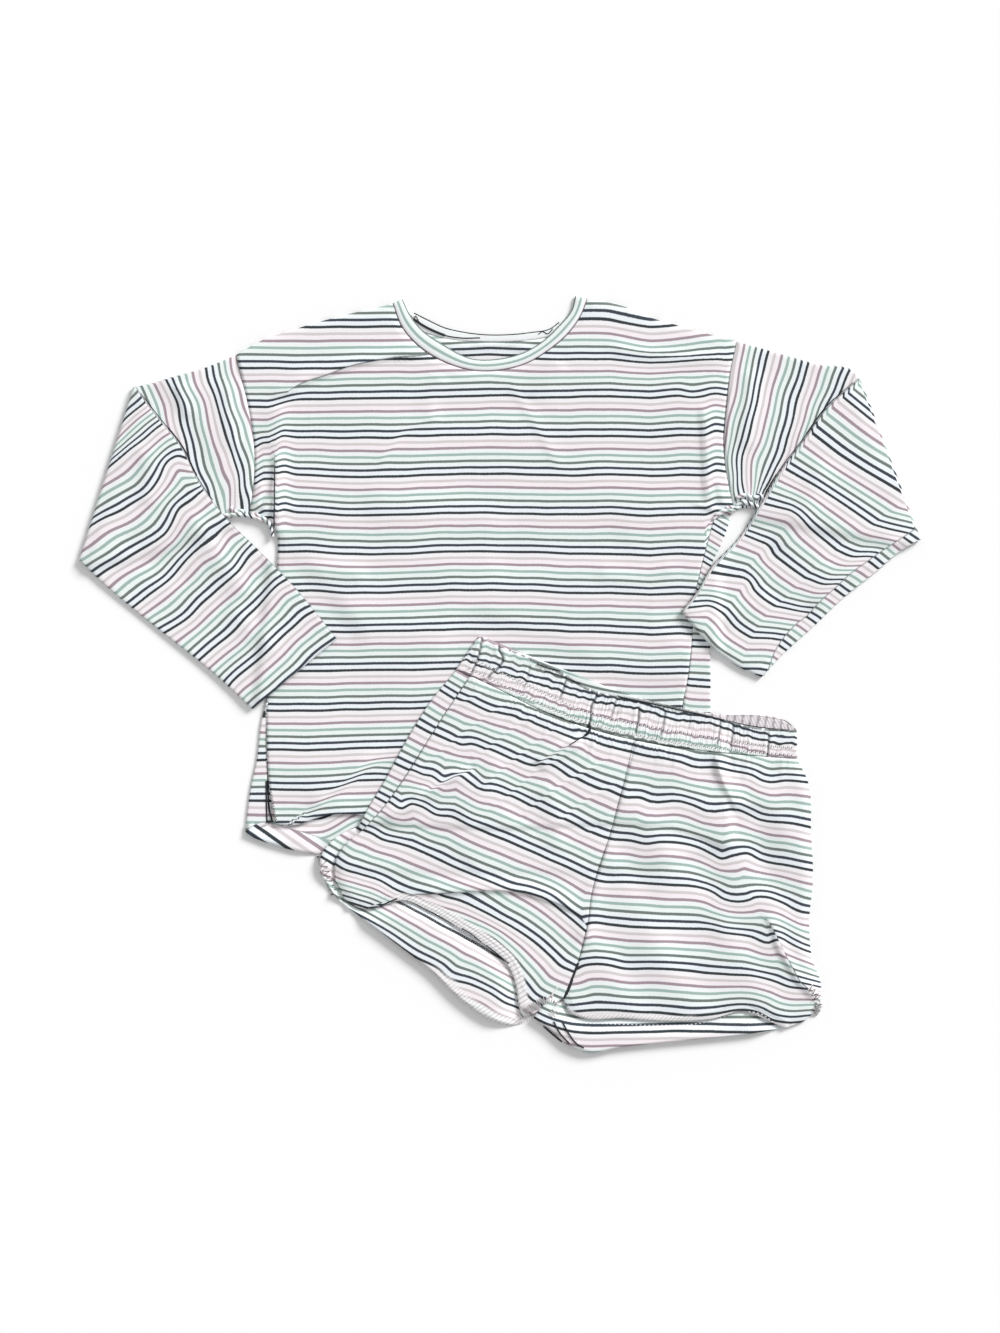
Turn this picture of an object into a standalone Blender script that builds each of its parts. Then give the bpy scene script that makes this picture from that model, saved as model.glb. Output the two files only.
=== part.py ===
"""A striped jersey pyjama set, laid flat on a surface: a long-sleeved top and a pair of shorts.

Metres, +Z up. The set lies on z = 0, the origin is the middle of the floor area that it covers, +Y points to the
top's neck, and left is -X. Each cut piece is a sheet of points with a wall of cloth behind its outer face.
"""

import math
from collections import namedtuple

import bmesh
import bpy
import numpy as np

# Cloth
WALL = 0.001  # one layer of jersey
GAP = 0.0003  # clearance at seams and between layers
SEAM = 0.0004  # how far a piece stops short of the seam that it shares
ARMHOLE_SEAM = 0.0012
WAIST_SEAM = 0.0008
FLAT = 0.003  # a front and a back laid on each other
REST = FLAT + GAP  # height of what lies on two layers
ROLL = FLAT / 2  # radius of a side that wraps over
PUFF_TOP = 0.0012  # air under the top's front
PUFF_SLEEVE = 0.0012
PUFF_SHORTS = 0.0022
EDGE_DROP = 0.0006  # how far a sewn or hemmed edge sinks
EDGE_WIDTH = 0.008

# Neckband and waistband
NECKBAND_WALL = 0.0011
NECKBAND_RAISED = 0.0004
NECKBAND_BACK_HEIGHT = 0.0006
NECKBAND_FRONT_HEIGHT = 0.0026
NECK_FRONT_COLUMNS = 14
NECK_BACK_COLUMNS = 12
WAISTBAND_WALL = 0.0014
WAISTBAND_FLAT = 0.004
WAIST_SIDE_SEAM = 0.045  # share of the front waist that lies left of the side seam
WAIST_CENTRE = 0.545  # share that lies left of the centre seam
GATHERS = 26
GATHER_HEIGHT = 0.0013
GATHER_FADE = 0.045  # how far the gathers run down into the shorts

# How one layer comes down from another
LEDGE = 0.018
SLOPE = 0.022
PRESSED = 0.018  # cloth lies flat this near to what covers it
RISE = 0.030  # and rises to its full height this much farther out

# Fold at the elbow
BEND_RADIUS = REST / 2 + FLAT / 2

Spot = namedtuple("Spot", "x y")
Fold = namedtuple("Fold", "x0 y0 x1 y1 height spread")

# ---- outlines of the top, each from its upper or left end ----

SHOULDER_LEFT = (
    Spot(-0.290, 0.350),
    Spot(-0.262, 0.366),
    Spot(-0.227, 0.378),
    Spot(-0.174, 0.393),
    Spot(-0.118, 0.406),
)
SHOULDER_RIGHT = (
    Spot(0.096, 0.411),
    Spot(0.131, 0.405),
    Spot(0.166, 0.391),
    Spot(0.201, 0.381),
    Spot(0.260, 0.365),
)
NECK_FRONT = (
    Spot(-0.118, 0.406),
    Spot(-0.109, 0.382),
    Spot(-0.087, 0.357),
    Spot(-0.0605, 0.3415),
    Spot(-0.031, 0.333),
    Spot(0.000, 0.333),
    Spot(0.029, 0.3405),
    Spot(0.052, 0.354),
    Spot(0.076, 0.3745),
    Spot(0.090, 0.3955),
    Spot(0.096, 0.411),
)
NECK_FRONT_FREE = (
    Spot(-0.107, 0.411),
    Spot(-0.100, 0.396),
    Spot(-0.090, 0.382),
    Spot(-0.0615, 0.361),
    Spot(-0.031, 0.346),
    Spot(0.000, 0.346),
    Spot(0.0286, 0.354),
    Spot(0.044, 0.363),
    Spot(0.064, 0.3815),
    Spot(0.079, 0.400),
    Spot(0.0825, 0.4135),
)
NECK_BACK = (
    Spot(-0.118, 0.406),
    Spot(-0.110, 0.391),
    Spot(-0.097, 0.380),
    Spot(-0.075, 0.372),
    Spot(-0.044, 0.366),
    Spot(-0.011, 0.3645),
    Spot(0.0275, 0.366),
    Spot(0.058, 0.372),
    Spot(0.082, 0.388),
    Spot(0.096, 0.411),
)
NECK_BACK_FREE = (
    Spot(-0.107, 0.411),
    Spot(-0.101, 0.400),
    Spot(-0.0825, 0.3905),
    Spot(-0.054, 0.378),
    Spot(-0.0165, 0.373),
    Spot(0.022, 0.3735),
    Spot(0.057, 0.380),
    Spot(0.073, 0.393),
    Spot(0.0825, 0.4135),
)
ARMHOLE_LEFT = (
    Spot(-0.290, 0.350),
    Spot(-0.2805, 0.311),
    Spot(-0.273, 0.273),
    Spot(-0.2695, 0.235),
    Spot(-0.271, 0.204),
    Spot(-0.276, 0.174),
)
ARMHOLE_RIGHT = (
    Spot(0.260, 0.365),
    Spot(0.253, 0.332),
    Spot(0.249, 0.295),
    Spot(0.246, 0.250),
    Spot(0.2475, 0.229),
    Spot(0.256, 0.182),
)
SIDE_LEFT = (
    Spot(-0.276, 0.174),
    Spot(-0.263, 0.1715),
    Spot(-0.251, 0.1645),
    Spot(-0.245, 0.117),
    Spot(-0.252, 0.037),
    Spot(-0.257, -0.028),
)
VENT_LEFT = (
    Spot(-0.257, -0.028),
    Spot(-0.2565, -0.070),
    Spot(-0.256, -0.115),
    Spot(-0.255, -0.1655),
)
OUTLINE_LOW_LEFT = (
    Spot(-0.257, -0.028),
    Spot(-0.263, -0.055),
    Spot(-0.267, -0.091),
    Spot(-0.2745, -0.127),
    Spot(-0.2805, -0.1765),
)
UNDERARM_RIGHT = (
    Spot(0.256, 0.182),
    Spot(0.244, 0.180),
    Spot(0.235, 0.171),
)
SIDE_RIGHT = (
    Spot(0.235, 0.171),
    Spot(0.223, 0.124),
    Spot(0.2145, 0.085),
    Spot(0.211, 0.037),
    Spot(0.206, -0.006),
    Spot(0.201, -0.035),
    Spot(0.202, -0.095),
    Spot(0.217, -0.168),
)
OUTLINE_RIGHT = (
    Spot(0.253, 0.169),
    Spot(0.2415, 0.138),
    Spot(0.234, 0.124),
    Spot(0.231, 0.081),
    Spot(0.2315, 0.000),
    Spot(0.232, -0.0435),
    Spot(0.2365, -0.106),
    Spot(0.246, -0.181),
)
HEM_FRONT = (
    Spot(-0.255, -0.1655),
    Spot(-0.233, -0.1665),
    Spot(-0.213, -0.160),
    Spot(-0.194, -0.155),
    Spot(-0.153, -0.156),
    Spot(0.000, -0.161),
    Spot(0.150, -0.157),
    Spot(0.185, -0.160),
    Spot(0.217, -0.168),
)
HEM_BACK = (
    Spot(-0.2805, -0.1765),
    Spot(-0.255, -0.1865),
    Spot(-0.224, -0.195),
    Spot(-0.198, -0.200),
    Spot(0.000, -0.207),
    Spot(0.165, -0.201),
    Spot(0.246, -0.181),
)

# ---- outlines of the sleeves, each from its armhole or elbow end ----

SLEEVE_LEFT_TOP = (
    Spot(-0.290, 0.350),
    Spot(-0.319, 0.338),
    Spot(-0.363, 0.325),
    Spot(-0.385, 0.3185),
    Spot(-0.4026, 0.316),
)
SLEEVE_LEFT_UNDER = (
    Spot(-0.276, 0.174),
    Spot(-0.301, 0.170),
    Spot(-0.385, 0.141),
    Spot(-0.463, 0.124),
)
FOREARM_LEFT_INNER = (
    Spot(-0.4026, 0.316),
    Spot(-0.375, 0.281),
    Spot(-0.350, 0.249),
    Spot(-0.332, 0.213),
    Spot(-0.299, 0.169),
    Spot(-0.263, 0.1335),
    Spot(-0.223, 0.092),
    Spot(-0.179, 0.038),
)
FOREARM_LEFT_OUTER = (
    Spot(-0.463, 0.124),
    Spot(-0.428, 0.092),
    Spot(-0.372, 0.046),
    Spot(-0.316, 0.0015),
    Spot(-0.272, -0.039),
)
CUFF_LEFT = (
    Spot(-0.179, 0.038),
    Spot(-0.272, -0.039),
)
SLEEVE_RIGHT_TOP = (
    Spot(0.260, 0.365),
    Spot(0.308, 0.3515),
    Spot(0.353, 0.339),
    Spot(0.386, 0.334),
    Spot(0.396, 0.325),
)
SLEEVE_RIGHT_UNDER = (
    Spot(0.256, 0.182),
    Spot(0.277, 0.181),
    Spot(0.363, 0.1655),
    Spot(0.463, 0.147),
)
FOREARM_RIGHT_INNER = (
    Spot(0.396, 0.325),
    Spot(0.385, 0.316),
    Spot(0.359, 0.292),
    Spot(0.335, 0.259),
    Spot(0.308, 0.223),
    Spot(0.284, 0.183),
    Spot(0.263, 0.150),
    Spot(0.232, 0.117),
    Spot(0.2145, 0.0875),
    Spot(0.199, 0.068),
)
FOREARM_RIGHT_OUTER = (
    Spot(0.463, 0.147),
    Spot(0.443, 0.136),
    Spot(0.414, 0.112),
    Spot(0.377, 0.0825),
    Spot(0.344, 0.051),
    Spot(0.3135, 0.0235),
    Spot(0.288, -0.004),
)
CUFF_RIGHT = (
    Spot(0.199, 0.068),
    Spot(0.229, 0.0335),
    Spot(0.265, 0.006),
    Spot(0.288, -0.004),
)

# ---- outlines of the shorts ----

WAIST_FRONT = (
    Spot(-0.048, 0.005),
    Spot(0.000, -0.018),
    Spot(0.044, -0.040),
    Spot(0.107, -0.063),
    Spot(0.1705, -0.0775),
    Spot(0.233, -0.086),
    Spot(0.327, -0.094),
)
BAND_TOP_FRONT = (
    Spot(-0.023, 0.042),
    Spot(0.014, 0.025),
    Spot(0.056, 0.008),
    Spot(0.107, -0.020),
    Spot(0.154, -0.028),
    Spot(0.219, -0.043),
    Spot(0.275, -0.058),
    Spot(0.326, -0.063),
)
BAND_TOP_BACK = (
    Spot(-0.023, 0.042),
    Spot(0.056, 0.010),
    Spot(0.154, -0.027),
    Spot(0.219, -0.042),
    Spot(0.250, -0.0455),
    Spot(0.278, -0.0455),
    Spot(0.309, -0.050),
    Spot(0.326, -0.061),
)
SHORTS_LEFT = (
    Spot(-0.048, 0.005),
    Spot(-0.0765, -0.030),
    Spot(-0.103, -0.073),
    Spot(-0.128, -0.119),
    Spot(-0.146, -0.149),
    Spot(-0.156, -0.168),
)
SHORTS_LEFT_LEG = (
    Spot(-0.156, -0.168),
    Spot(-0.180, -0.180),
    Spot(-0.197, -0.201),
    Spot(-0.198, -0.217),
    Spot(-0.190, -0.2315),
    Spot(-0.176, -0.251),
)
SHORTS_SIDE_SEAM = (
    Spot(-0.0335, -0.0042),
    Spot(-0.057, -0.039),
    Spot(-0.080, -0.075),
    Spot(-0.103, -0.112),
    Spot(-0.133, -0.153),
    Spot(-0.152, -0.173),
)
CENTRE_FRONT = (
    Spot(0.147, -0.0741),
    Spot(0.141, -0.101),
    Spot(0.128, -0.150),
    Spot(0.1155, -0.194),
    Spot(0.100, -0.244),
    Spot(0.096, -0.277),
    Spot(0.0825, -0.326),
    Spot(0.069, -0.357),
)
CENTRE_BACK = (
    Spot(0.147, -0.0741),
    Spot(0.128, -0.150),
    Spot(0.105, -0.244),
    Spot(0.072, -0.330),
    Spot(0.0365, -0.378),
)
INSEAM_LEFT = (
    Spot(0.069, -0.357),
    Spot(0.048, -0.369),
    Spot(0.025, -0.378),
)
HEM_LEFT_CURL = (
    Spot(-0.152, -0.173),
    Spot(-0.168, -0.185),
    Spot(-0.180, -0.203),
    Spot(-0.1815, -0.227),
    Spot(-0.1705, -0.248),
)
HEM_LEFT_FRONT = (
    Spot(-0.1705, -0.248),
    Spot(-0.153, -0.258),
    Spot(-0.125, -0.2535),
    Spot(-0.108, -0.249),
    Spot(-0.079, -0.260),
    Spot(-0.041, -0.282),
    Spot(-0.011, -0.302),
    Spot(0.009, -0.321),
    Spot(0.0176, -0.344),
    Spot(0.021, -0.367),
    Spot(0.025, -0.378),
)
HEM_LEFT_BACK = (
    Spot(-0.176, -0.251),
    Spot(-0.139, -0.278),
    Spot(-0.103, -0.305),
    Spot(-0.076, -0.326),
    Spot(-0.041, -0.360),
    Spot(-0.011, -0.380),
    Spot(0.015, -0.387),
    Spot(0.0365, -0.378),
)
SHORTS_RIGHT = (
    Spot(0.327, -0.0952),
    Spot(0.338, -0.117),
    Spot(0.342, -0.175),
    Spot(0.344, -0.227),
    Spot(0.340, -0.272),
    Spot(0.343, -0.313),
    Spot(0.353, -0.344),
    Spot(0.352, -0.358),
    Spot(0.337, -0.380),
    Spot(0.3135, -0.390),
)
HEM_RIGHT_FRONT = (
    Spot(0.069, -0.357),
    Spot(0.077, -0.3725),
    Spot(0.089, -0.378),
    Spot(0.134, -0.379),
    Spot(0.1925, -0.382),
    Spot(0.235, -0.379),
    Spot(0.268, -0.371),
    Spot(0.2915, -0.380),
    Spot(0.3135, -0.390),
)
HEM_RIGHT_BACK = (
    Spot(0.0365, -0.378),
    Spot(0.054, -0.390),
    Spot(0.078, -0.410),
    Spot(0.0935, -0.4155),
    Spot(0.134, -0.410),
    Spot(0.201, -0.403),
    Spot(0.266, -0.3965),
    Spot(0.3135, -0.390),
)

# ---- largest folds: a ridge, or a trough where the height is below 0, between two ends ----

TOP_FOLDS = (
    Fold(-0.075, 0.347, -0.168, 0.338, 0.0014, 0.012),  # tuck under the left shoulder
    Fold(-0.150, 0.340, -0.262, 0.305, 0.0022, 0.012),
    Fold(-0.250, 0.235, -0.246, 0.172, 0.0026, 0.014),  # pinch beside the left armhole
    Fold(-0.213, -0.152, -0.143, -0.095, 0.0020, 0.014),  # crease that rises from the vent
    Fold(-0.143, -0.095, -0.110, -0.086, 0.0014, 0.016),
    Fold(0.121, 0.357, 0.242, 0.347, 0.0014, 0.012),  # pinch on the right shoulder
    Fold(0.224, 0.290, 0.222, 0.180, 0.0020, 0.014),
    Fold(-0.090, 0.285, 0.060, 0.300, -0.0008, 0.024),
    Fold(-0.160, 0.190, 0.020, 0.160, 0.0010, 0.026),
    Fold(-0.020, 0.120, 0.150, 0.150, -0.0009, 0.024),
    Fold(-0.200, 0.060, -0.040, 0.030, 0.0009, 0.030),
)
SLEEVE_FOLDS = (
    Fold(-0.300, 0.325, -0.285, 0.240, 0.0012, 0.014),
    Fold(-0.345, 0.180, -0.270, 0.075, 0.0016, 0.018),
    Fold(-0.420, 0.160, -0.330, 0.100, -0.0009, 0.016),
    Fold(-0.300, 0.080, -0.240, 0.020, 0.0012, 0.016),
    Fold(0.275, 0.340, 0.268, 0.240, 0.0012, 0.014),
    Fold(0.360, 0.240, 0.300, 0.130, 0.0016, 0.018),
    Fold(0.430, 0.200, 0.350, 0.120, -0.0009, 0.016),
    Fold(0.300, 0.090, 0.240, 0.060, 0.0012, 0.016),
)
SHORTS_FOLDS = (
    Fold(0.091, -0.070, 0.036, -0.102, 0.0026, 0.012),  # folds that fan out from the waistband
    Fold(-0.029, -0.102, -0.100, -0.148, 0.0026, 0.012),
    Fold(-0.100, -0.148, -0.133, -0.168, 0.0018, 0.012),
    Fold(-0.107, -0.246, 0.010, -0.240, 0.0034, 0.012),  # fold along the left leg's hem
    Fold(0.010, -0.240, 0.096, -0.279, 0.0030, 0.013),
    Fold(0.240, -0.090, 0.253, -0.134, 0.0026, 0.010),  # pleat near the right side
    Fold(0.290, -0.268, 0.318, -0.325, 0.0030, 0.014),  # fold by the right leg's side
    Fold(0.318, -0.325, 0.346, -0.355, 0.0020, 0.013),
    Fold(0.220, -0.150, 0.226, -0.330, -0.0016, 0.026),
    Fold(0.285, -0.150, 0.290, -0.250, -0.0014, 0.022),
    Fold(0.180, -0.140, 0.170, -0.350, 0.0014, 0.028),
    Fold(0.020, -0.150, -0.040, -0.215, 0.0012, 0.024),
)

# ---- curves and patches ----


def curve(spots, steps=8):
    """A smooth line through the spots, as closely spaced points."""
    known = np.array(spots, float)
    if len(known) == 2:
        return known
    gaps = np.linalg.norm(np.diff(known, axis=0), axis=1)[:, None]
    slopes = np.diff(known, axis=0) / gaps
    inner = (slopes[:-1] * gaps[1:] + slopes[1:] * gaps[:-1]) / (gaps[:-1] + gaps[1:])
    tangents = np.vstack([slopes[:1], inner, slopes[-1:]])
    runs = []
    for step in range(steps):
        t = step / steps
        start = (1 + 2 * t) * (1 - t) ** 2 * known[:-1] + t * (1 - t) ** 2 * gaps * tangents[:-1]
        end = t * t * (3 - 2 * t) * known[1:] + t * t * (t - 1) * gaps * tangents[1:]
        runs.append(start + end)
    points = np.stack(runs, axis=1).reshape(-1, 2)
    return np.vstack([points, known[-1:]])


def moved(line, x=0.0, y=0.0):
    return line + np.array((x, y))


def along(line, shares):
    """The points at these shares of a line's length."""
    lengths = np.concatenate([[0], np.cumsum(np.linalg.norm(np.diff(line, axis=0), axis=1))])
    wanted = np.asarray(shares) * lengths[-1]
    return np.stack([np.interp(wanted, lengths, line[:, axis]) for axis in (0, 1)], axis=-1)


def stops(*counts):
    """Evenly spaced places along joined lines: whole numbers are their ends."""
    runs = [number + np.arange(count) / count for number, count in enumerate(counts)]
    return np.concatenate(runs + [[len(counts)]])


def joined(places, *lines):
    """The points at places along several lines, which follow each other."""
    number = np.minimum(places.astype(int), len(lines) - 1)
    found = np.stack([along(line, np.clip(places - k, 0, 1)) for k, line in enumerate(lines)])
    return found[number, np.arange(len(places))]


def shares_between(first, second):
    """How far along two facing edges their points lie, from 0 to 1."""
    steps = [np.linalg.norm(np.diff(edge, axis=0), axis=1) for edge in (first, second)]
    total = np.concatenate([[0], np.cumsum(steps[0] / steps[0].sum() + steps[1] / steps[1].sum())])
    return total / total[-1]


def patch(top, bottom, left, right):
    """Points that fill the space between four edges, in rows from the top edge down."""
    u = shares_between(top, bottom)[None, :, None]
    v = shares_between(left, right)[:, None, None]
    across = (1 - u) * left[:, None] + u * right[:, None]
    down = (1 - v) * top[None] + v * bottom[None]
    corners = (1 - v) * ((1 - u) * top[0] + u * top[-1]) + v * ((1 - u) * bottom[0] + u * bottom[-1])
    return across + down - corners


def eased(share):
    share = np.clip(share, 0, 1)
    return share * share * (3 - 2 * share)


def distance_to(points, line):
    """How far each point lies from a line."""
    nearest = np.full(points.shape[:-1], np.inf)
    for start, end in zip(line[:-1], line[1:]):
        run = end - start
        share = np.clip((points - start) @ run / max(run @ run, 1e-12), 0, 1)
        nearest = np.minimum(nearest, np.linalg.norm(points - start - share[..., None] * run, axis=-1))
    return nearest


def distance_outside(points, outline):
    """How far each point lies outside a closed outline, and 0 inside it."""
    x, y = points[..., 0], points[..., 1]
    inside = np.zeros(x.shape, bool)
    for (x0, y0), (x1, y1) in zip(outline, np.roll(outline, -1, axis=0)):
        if y0 == y1:
            continue
        inside ^= ((y0 > y) != (y1 > y)) & (x < x0 + (y - y0) * (x1 - x0) / (y1 - y0))
    return np.where(inside, 0, distance_to(points, np.vstack([outline, outline[:1]])))


def relief(points, folds):
    """The height that the folds add at each point."""
    total = np.zeros(points.shape[:-1])
    for fold in folds:
        start = np.array((fold.x0, fold.y0))
        run = np.array((fold.x1, fold.y1)) - start
        share = (points - start) @ run / (run @ run)
        across = ((points - start) @ np.array((-run[1], run[0]))) / math.sqrt(run @ run)
        fade = eased(1.15 - abs(share - 0.5) * 1.6)
        total += fold.height * np.exp(-((across / fold.spread) ** 2)) * fade
    return total


def gathers(shares):
    """Uneven ridges along the waistband, from 0 to 1."""
    phase = GATHERS * (shares + 0.012 * np.sin(7 * math.tau * shares) + 0.006 * np.sin(17 * math.tau * shares))
    return (0.5 - 0.5 * np.cos(math.tau * phase)) * (0.75 + 0.25 * np.sin(5 * math.tau * shares + 1))


# ---- the lines of the set ----

shoulder_left = curve(SHOULDER_LEFT)
shoulder_right = curve(SHOULDER_RIGHT)
neck_front = curve(NECK_FRONT)
neck_back = curve(NECK_BACK)
armhole_left = curve(ARMHOLE_LEFT)
armhole_right = curve(ARMHOLE_RIGHT)
underarm_right = curve(UNDERARM_RIGHT)
side_left = curve(SIDE_LEFT)
side_right = curve(SIDE_RIGHT)
vent_left = curve(VENT_LEFT)
outline_low_left = curve(OUTLINE_LOW_LEFT)
outline_right = curve(OUTLINE_RIGHT)
hem_front = curve(HEM_FRONT)
hem_back = curve(HEM_BACK)
waist_front = curve(WAIST_FRONT)
centre_front = curve(CENTRE_FRONT)
centre_back = curve(CENTRE_BACK)

top_front_outline = np.vstack(
    [shoulder_left, neck_front, shoulder_right, armhole_right, outline_right]
    + [hem_front[::-1], vent_left[::-1], side_left[::-1], armhole_left[::-1]]
)
top_back_outline = np.vstack(
    [shoulder_left, shoulder_right, armhole_right, outline_right]
    + [hem_back[::-1], outline_low_left[::-1], side_left[::-1], armhole_left[::-1]]
)
upper_left_outline = np.vstack(
    [curve(SLEEVE_LEFT_TOP), curve(SLEEVE_LEFT_UNDER)[::-1], armhole_left[::-1]]
)
upper_right_outline = np.vstack(
    [curve(SLEEVE_RIGHT_TOP), curve(SLEEVE_RIGHT_UNDER)[::-1], armhole_right[::-1]]
)
forearm_left_outline = np.vstack([curve(FOREARM_LEFT_INNER), curve(FOREARM_LEFT_OUTER)[::-1]])
forearm_right_outline = np.vstack([curve(FOREARM_RIGHT_INNER), curve(FOREARM_RIGHT_OUTER)[::-1]])
shorts_outline = np.vstack(
    [curve(BAND_TOP_FRONT), curve(SHORTS_RIGHT), curve(HEM_RIGHT_BACK)[::-1]]
    + [curve(HEM_LEFT_BACK)[::-1], curve(SHORTS_LEFT_LEG)[::-1], curve(SHORTS_LEFT)[::-1]]
)


# ---- heights ----


def drape(points, supports):
    """The height of cloth that lies over outlines of these heights and comes down beside them."""
    height = np.zeros(points.shape[:-1])
    for outline, top in supports:
        away = distance_outside(points, outline)
        height = np.maximum(height, top * (1 - eased((away - LEDGE) / SLOPE)))
    return height


def uncovered(points, covers):
    """1 on open cloth, and 0 under each cover and close to it."""
    share = np.ones(points.shape[:-1])
    for outline in covers:
        share = np.minimum(share, eased((distance_outside(points, outline) - PRESSED) / RISE))
    return share


def sunk(points, edges):
    """How far cloth sinks towards these edges."""
    nearest = np.min([distance_to(points, edge) for edge in edges], axis=0)
    return EDGE_DROP * (1 - eased(nearest / EDGE_WIDTH))


def lifted(points, puff, folds, covers=()):
    """The height of a front above two flat layers."""
    return uncovered(points, covers) * np.maximum(puff + relief(points, folds), 0)


def with_height(points, height):
    return np.dstack([points, np.broadcast_to(height, points.shape[:-1])])


# ---- sheets and solids ----


def add_grid(mesh, points, up=True, closed=False):
    """Faces between neighbouring points. In rows from the top down they face up, or down."""
    rows = [[mesh.verts.new(point) for point in row] for row in points]
    for upper, lower in zip(rows, rows[1:]):
        last = len(upper) if closed else len(upper) - 1
        for k in range(last):
            near = (k + 1) % len(upper)
            face = [upper[k], lower[k], lower[near], upper[near]]
            mesh.faces.new(face if up else face[::-1])


def cloth(name, grids, colour, wall=WALL, offset=-1.0):
    """One named piece: its outer face, welded from grids, with a wall behind it."""
    mesh = bmesh.new()
    for points, up, closed in grids:
        add_grid(mesh, points, up, closed)
    bmesh.ops.remove_doubles(mesh, verts=mesh.verts, dist=0.00002)
    data = bpy.data.meshes.new(name)
    mesh.to_mesh(data)
    mesh.free()
    data.shade_smooth()
    data.materials.append(jersey(name, colour))
    piece = bpy.data.objects.new(name, data)
    bpy.context.scene.collection.objects.link(piece)
    solidify = piece.modifiers.new("wall", "SOLIDIFY")
    solidify.thickness = wall
    solidify.offset = offset
    return piece


def jersey(name, colour):
    material = bpy.data.materials.new(name + "_jersey")
    material.use_nodes = True
    shader = material.node_tree.nodes["Principled BSDF"]
    shader.inputs["Base Color"].default_value = (*colour, 1.0)
    shader.inputs["Roughness"].default_value = 0.85
    shader.inputs["Metallic"].default_value = 0.0
    return material


def wrapped_side(edge, seam, base, out_sign):
    """Rows that carry a back over its side: round the roll at the edge, then in to the seam."""
    out = edge - seam
    out /= np.linalg.norm(out, axis=1)[:, None]
    columns = [with_height(edge[None], base)[0]]
    for turn in (0.25, 0.5, 0.75, 1.0):
        spot = edge + out * ROLL * math.sin(turn * math.pi)
        height = base + ROLL * (1 - math.cos(turn * math.pi))
        columns.append(np.column_stack([spot, height]))
    for share in (0.5, 1.0):
        spot = edge + (seam - edge) * share
        columns.append(np.column_stack([spot, base + FLAT]))
    points = np.stack(columns, axis=1)
    return points if out_sign > 0 else points[:, ::-1]


# ---- pieces of the top ----

PALE_MINT = (0.78, 0.84, 0.80)
PALE_MAUVE = (0.82, 0.77, 0.81)
PALE_NAVY = (0.62, 0.66, 0.74)


def hem_places(places):
    """Shares along a hem that lie below the shoulder, the neck and the other shoulder."""
    return np.interp(places, (0, 1, 2, 3), (0, 0.29, 0.70, 1))


def make_top_front():
    columns = stops(6, NECK_FRONT_COLUMNS, 6)
    rows = stops(9, 1, 8, 7)
    top = joined(columns, shoulder_left, moved(neck_front, y=-SEAM), shoulder_right)
    bottom = along(hem_front, hem_places(columns))
    left_rows = np.interp(rows, (0, 1, 2, 3, 4), (0, 1, 1.12, 2, 3))
    left = joined(left_rows, armhole_left, side_left, vent_left)
    right_rows = np.interp(rows, (0, 1, 2, 4), (0, 1, 2, 3))
    right = joined(right_rows, armhole_right, underarm_right, moved(side_right, x=-SEAM))
    points = patch(top, bottom, left, right)
    covers = (forearm_left_outline, forearm_right_outline, shorts_outline)
    edges = (shoulder_left, shoulder_right, side_left)
    height = FLAT + lifted(points, PUFF_TOP, TOP_FOLDS, covers) - sunk(points, edges)
    return cloth("top_front", [(with_height(points, height), True, False)], PALE_MINT)


def make_top_back():
    columns = stops(4, NECK_BACK_COLUMNS, 4)
    rows = stops(8, 1, 7, 7)
    edge_left = moved(outline_low_left, x=ROLL)
    edge_right = moved(outline_right, x=-ROLL)
    top = joined(columns, shoulder_left, moved(neck_back, y=-SEAM), shoulder_right)
    left_rows = np.interp(rows, (0, 1, 2, 3, 4), (0, 1, 1.12, 2, 3))
    left = joined(left_rows, armhole_left, np.vstack([side_left[:-1], edge_left[:1]]), edge_left)
    right_rows = np.interp(rows, (0, 1, 2, 4), (0, 1, 2, 3))
    right = joined(right_rows, armhole_right, np.vstack([armhole_right[-1:], edge_right[:1]]), edge_right)
    low = np.vstack([edge_left[-1:], hem_back[1:-1], edge_right[-1:]])
    bottom = along(low, hem_places(columns))
    main = patch(top, bottom, left, right)
    low_rows = rows > 3
    side_rows = rows >= 2
    seam_left = along(vent_left, rows[low_rows] - 3)
    seam_right = along(side_right, (rows[side_rows] - 2) / 2)
    flap_left = wrapped_side(main[low_rows, 0], seam_left - (SEAM, 0), 0 * seam_left[:, 0], -1)
    flap_right = wrapped_side(main[side_rows, -1], seam_right, 0 * seam_right[:, 0], 1)
    grids = [(with_height(main, 0), False, False), (flap_left, False, False), (flap_right, False, False)]
    return cloth("top_back", grids, PALE_MINT)


def ring(points):
    """Each row's points laid round a flattened tube, with how high up each lies, from 0 to 1."""
    inner = points[:, 1:-1]
    turns = [(0.25, -1), (0.5, -1), (0.75, -1)]
    far = [inner[:, -1] + (points[:, -1] - inner[:, -1]) * math.sin(t * math.pi) for t, _ in turns]
    near = [inner[:, 0] + (points[:, 0] - inner[:, 0]) * math.sin(t * math.pi) for t, _ in turns]
    rising = [(1 - math.cos(t * math.pi)) / 2 for t, _ in turns]
    width = inner.shape[1]
    around = np.concatenate([inner, np.stack(far, 1), inner[:, ::-1], np.stack(near[::-1], 1)], axis=1)
    raised = np.concatenate([np.zeros(width), rising, np.ones(width), rising[::-1]])
    return around, raised


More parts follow.
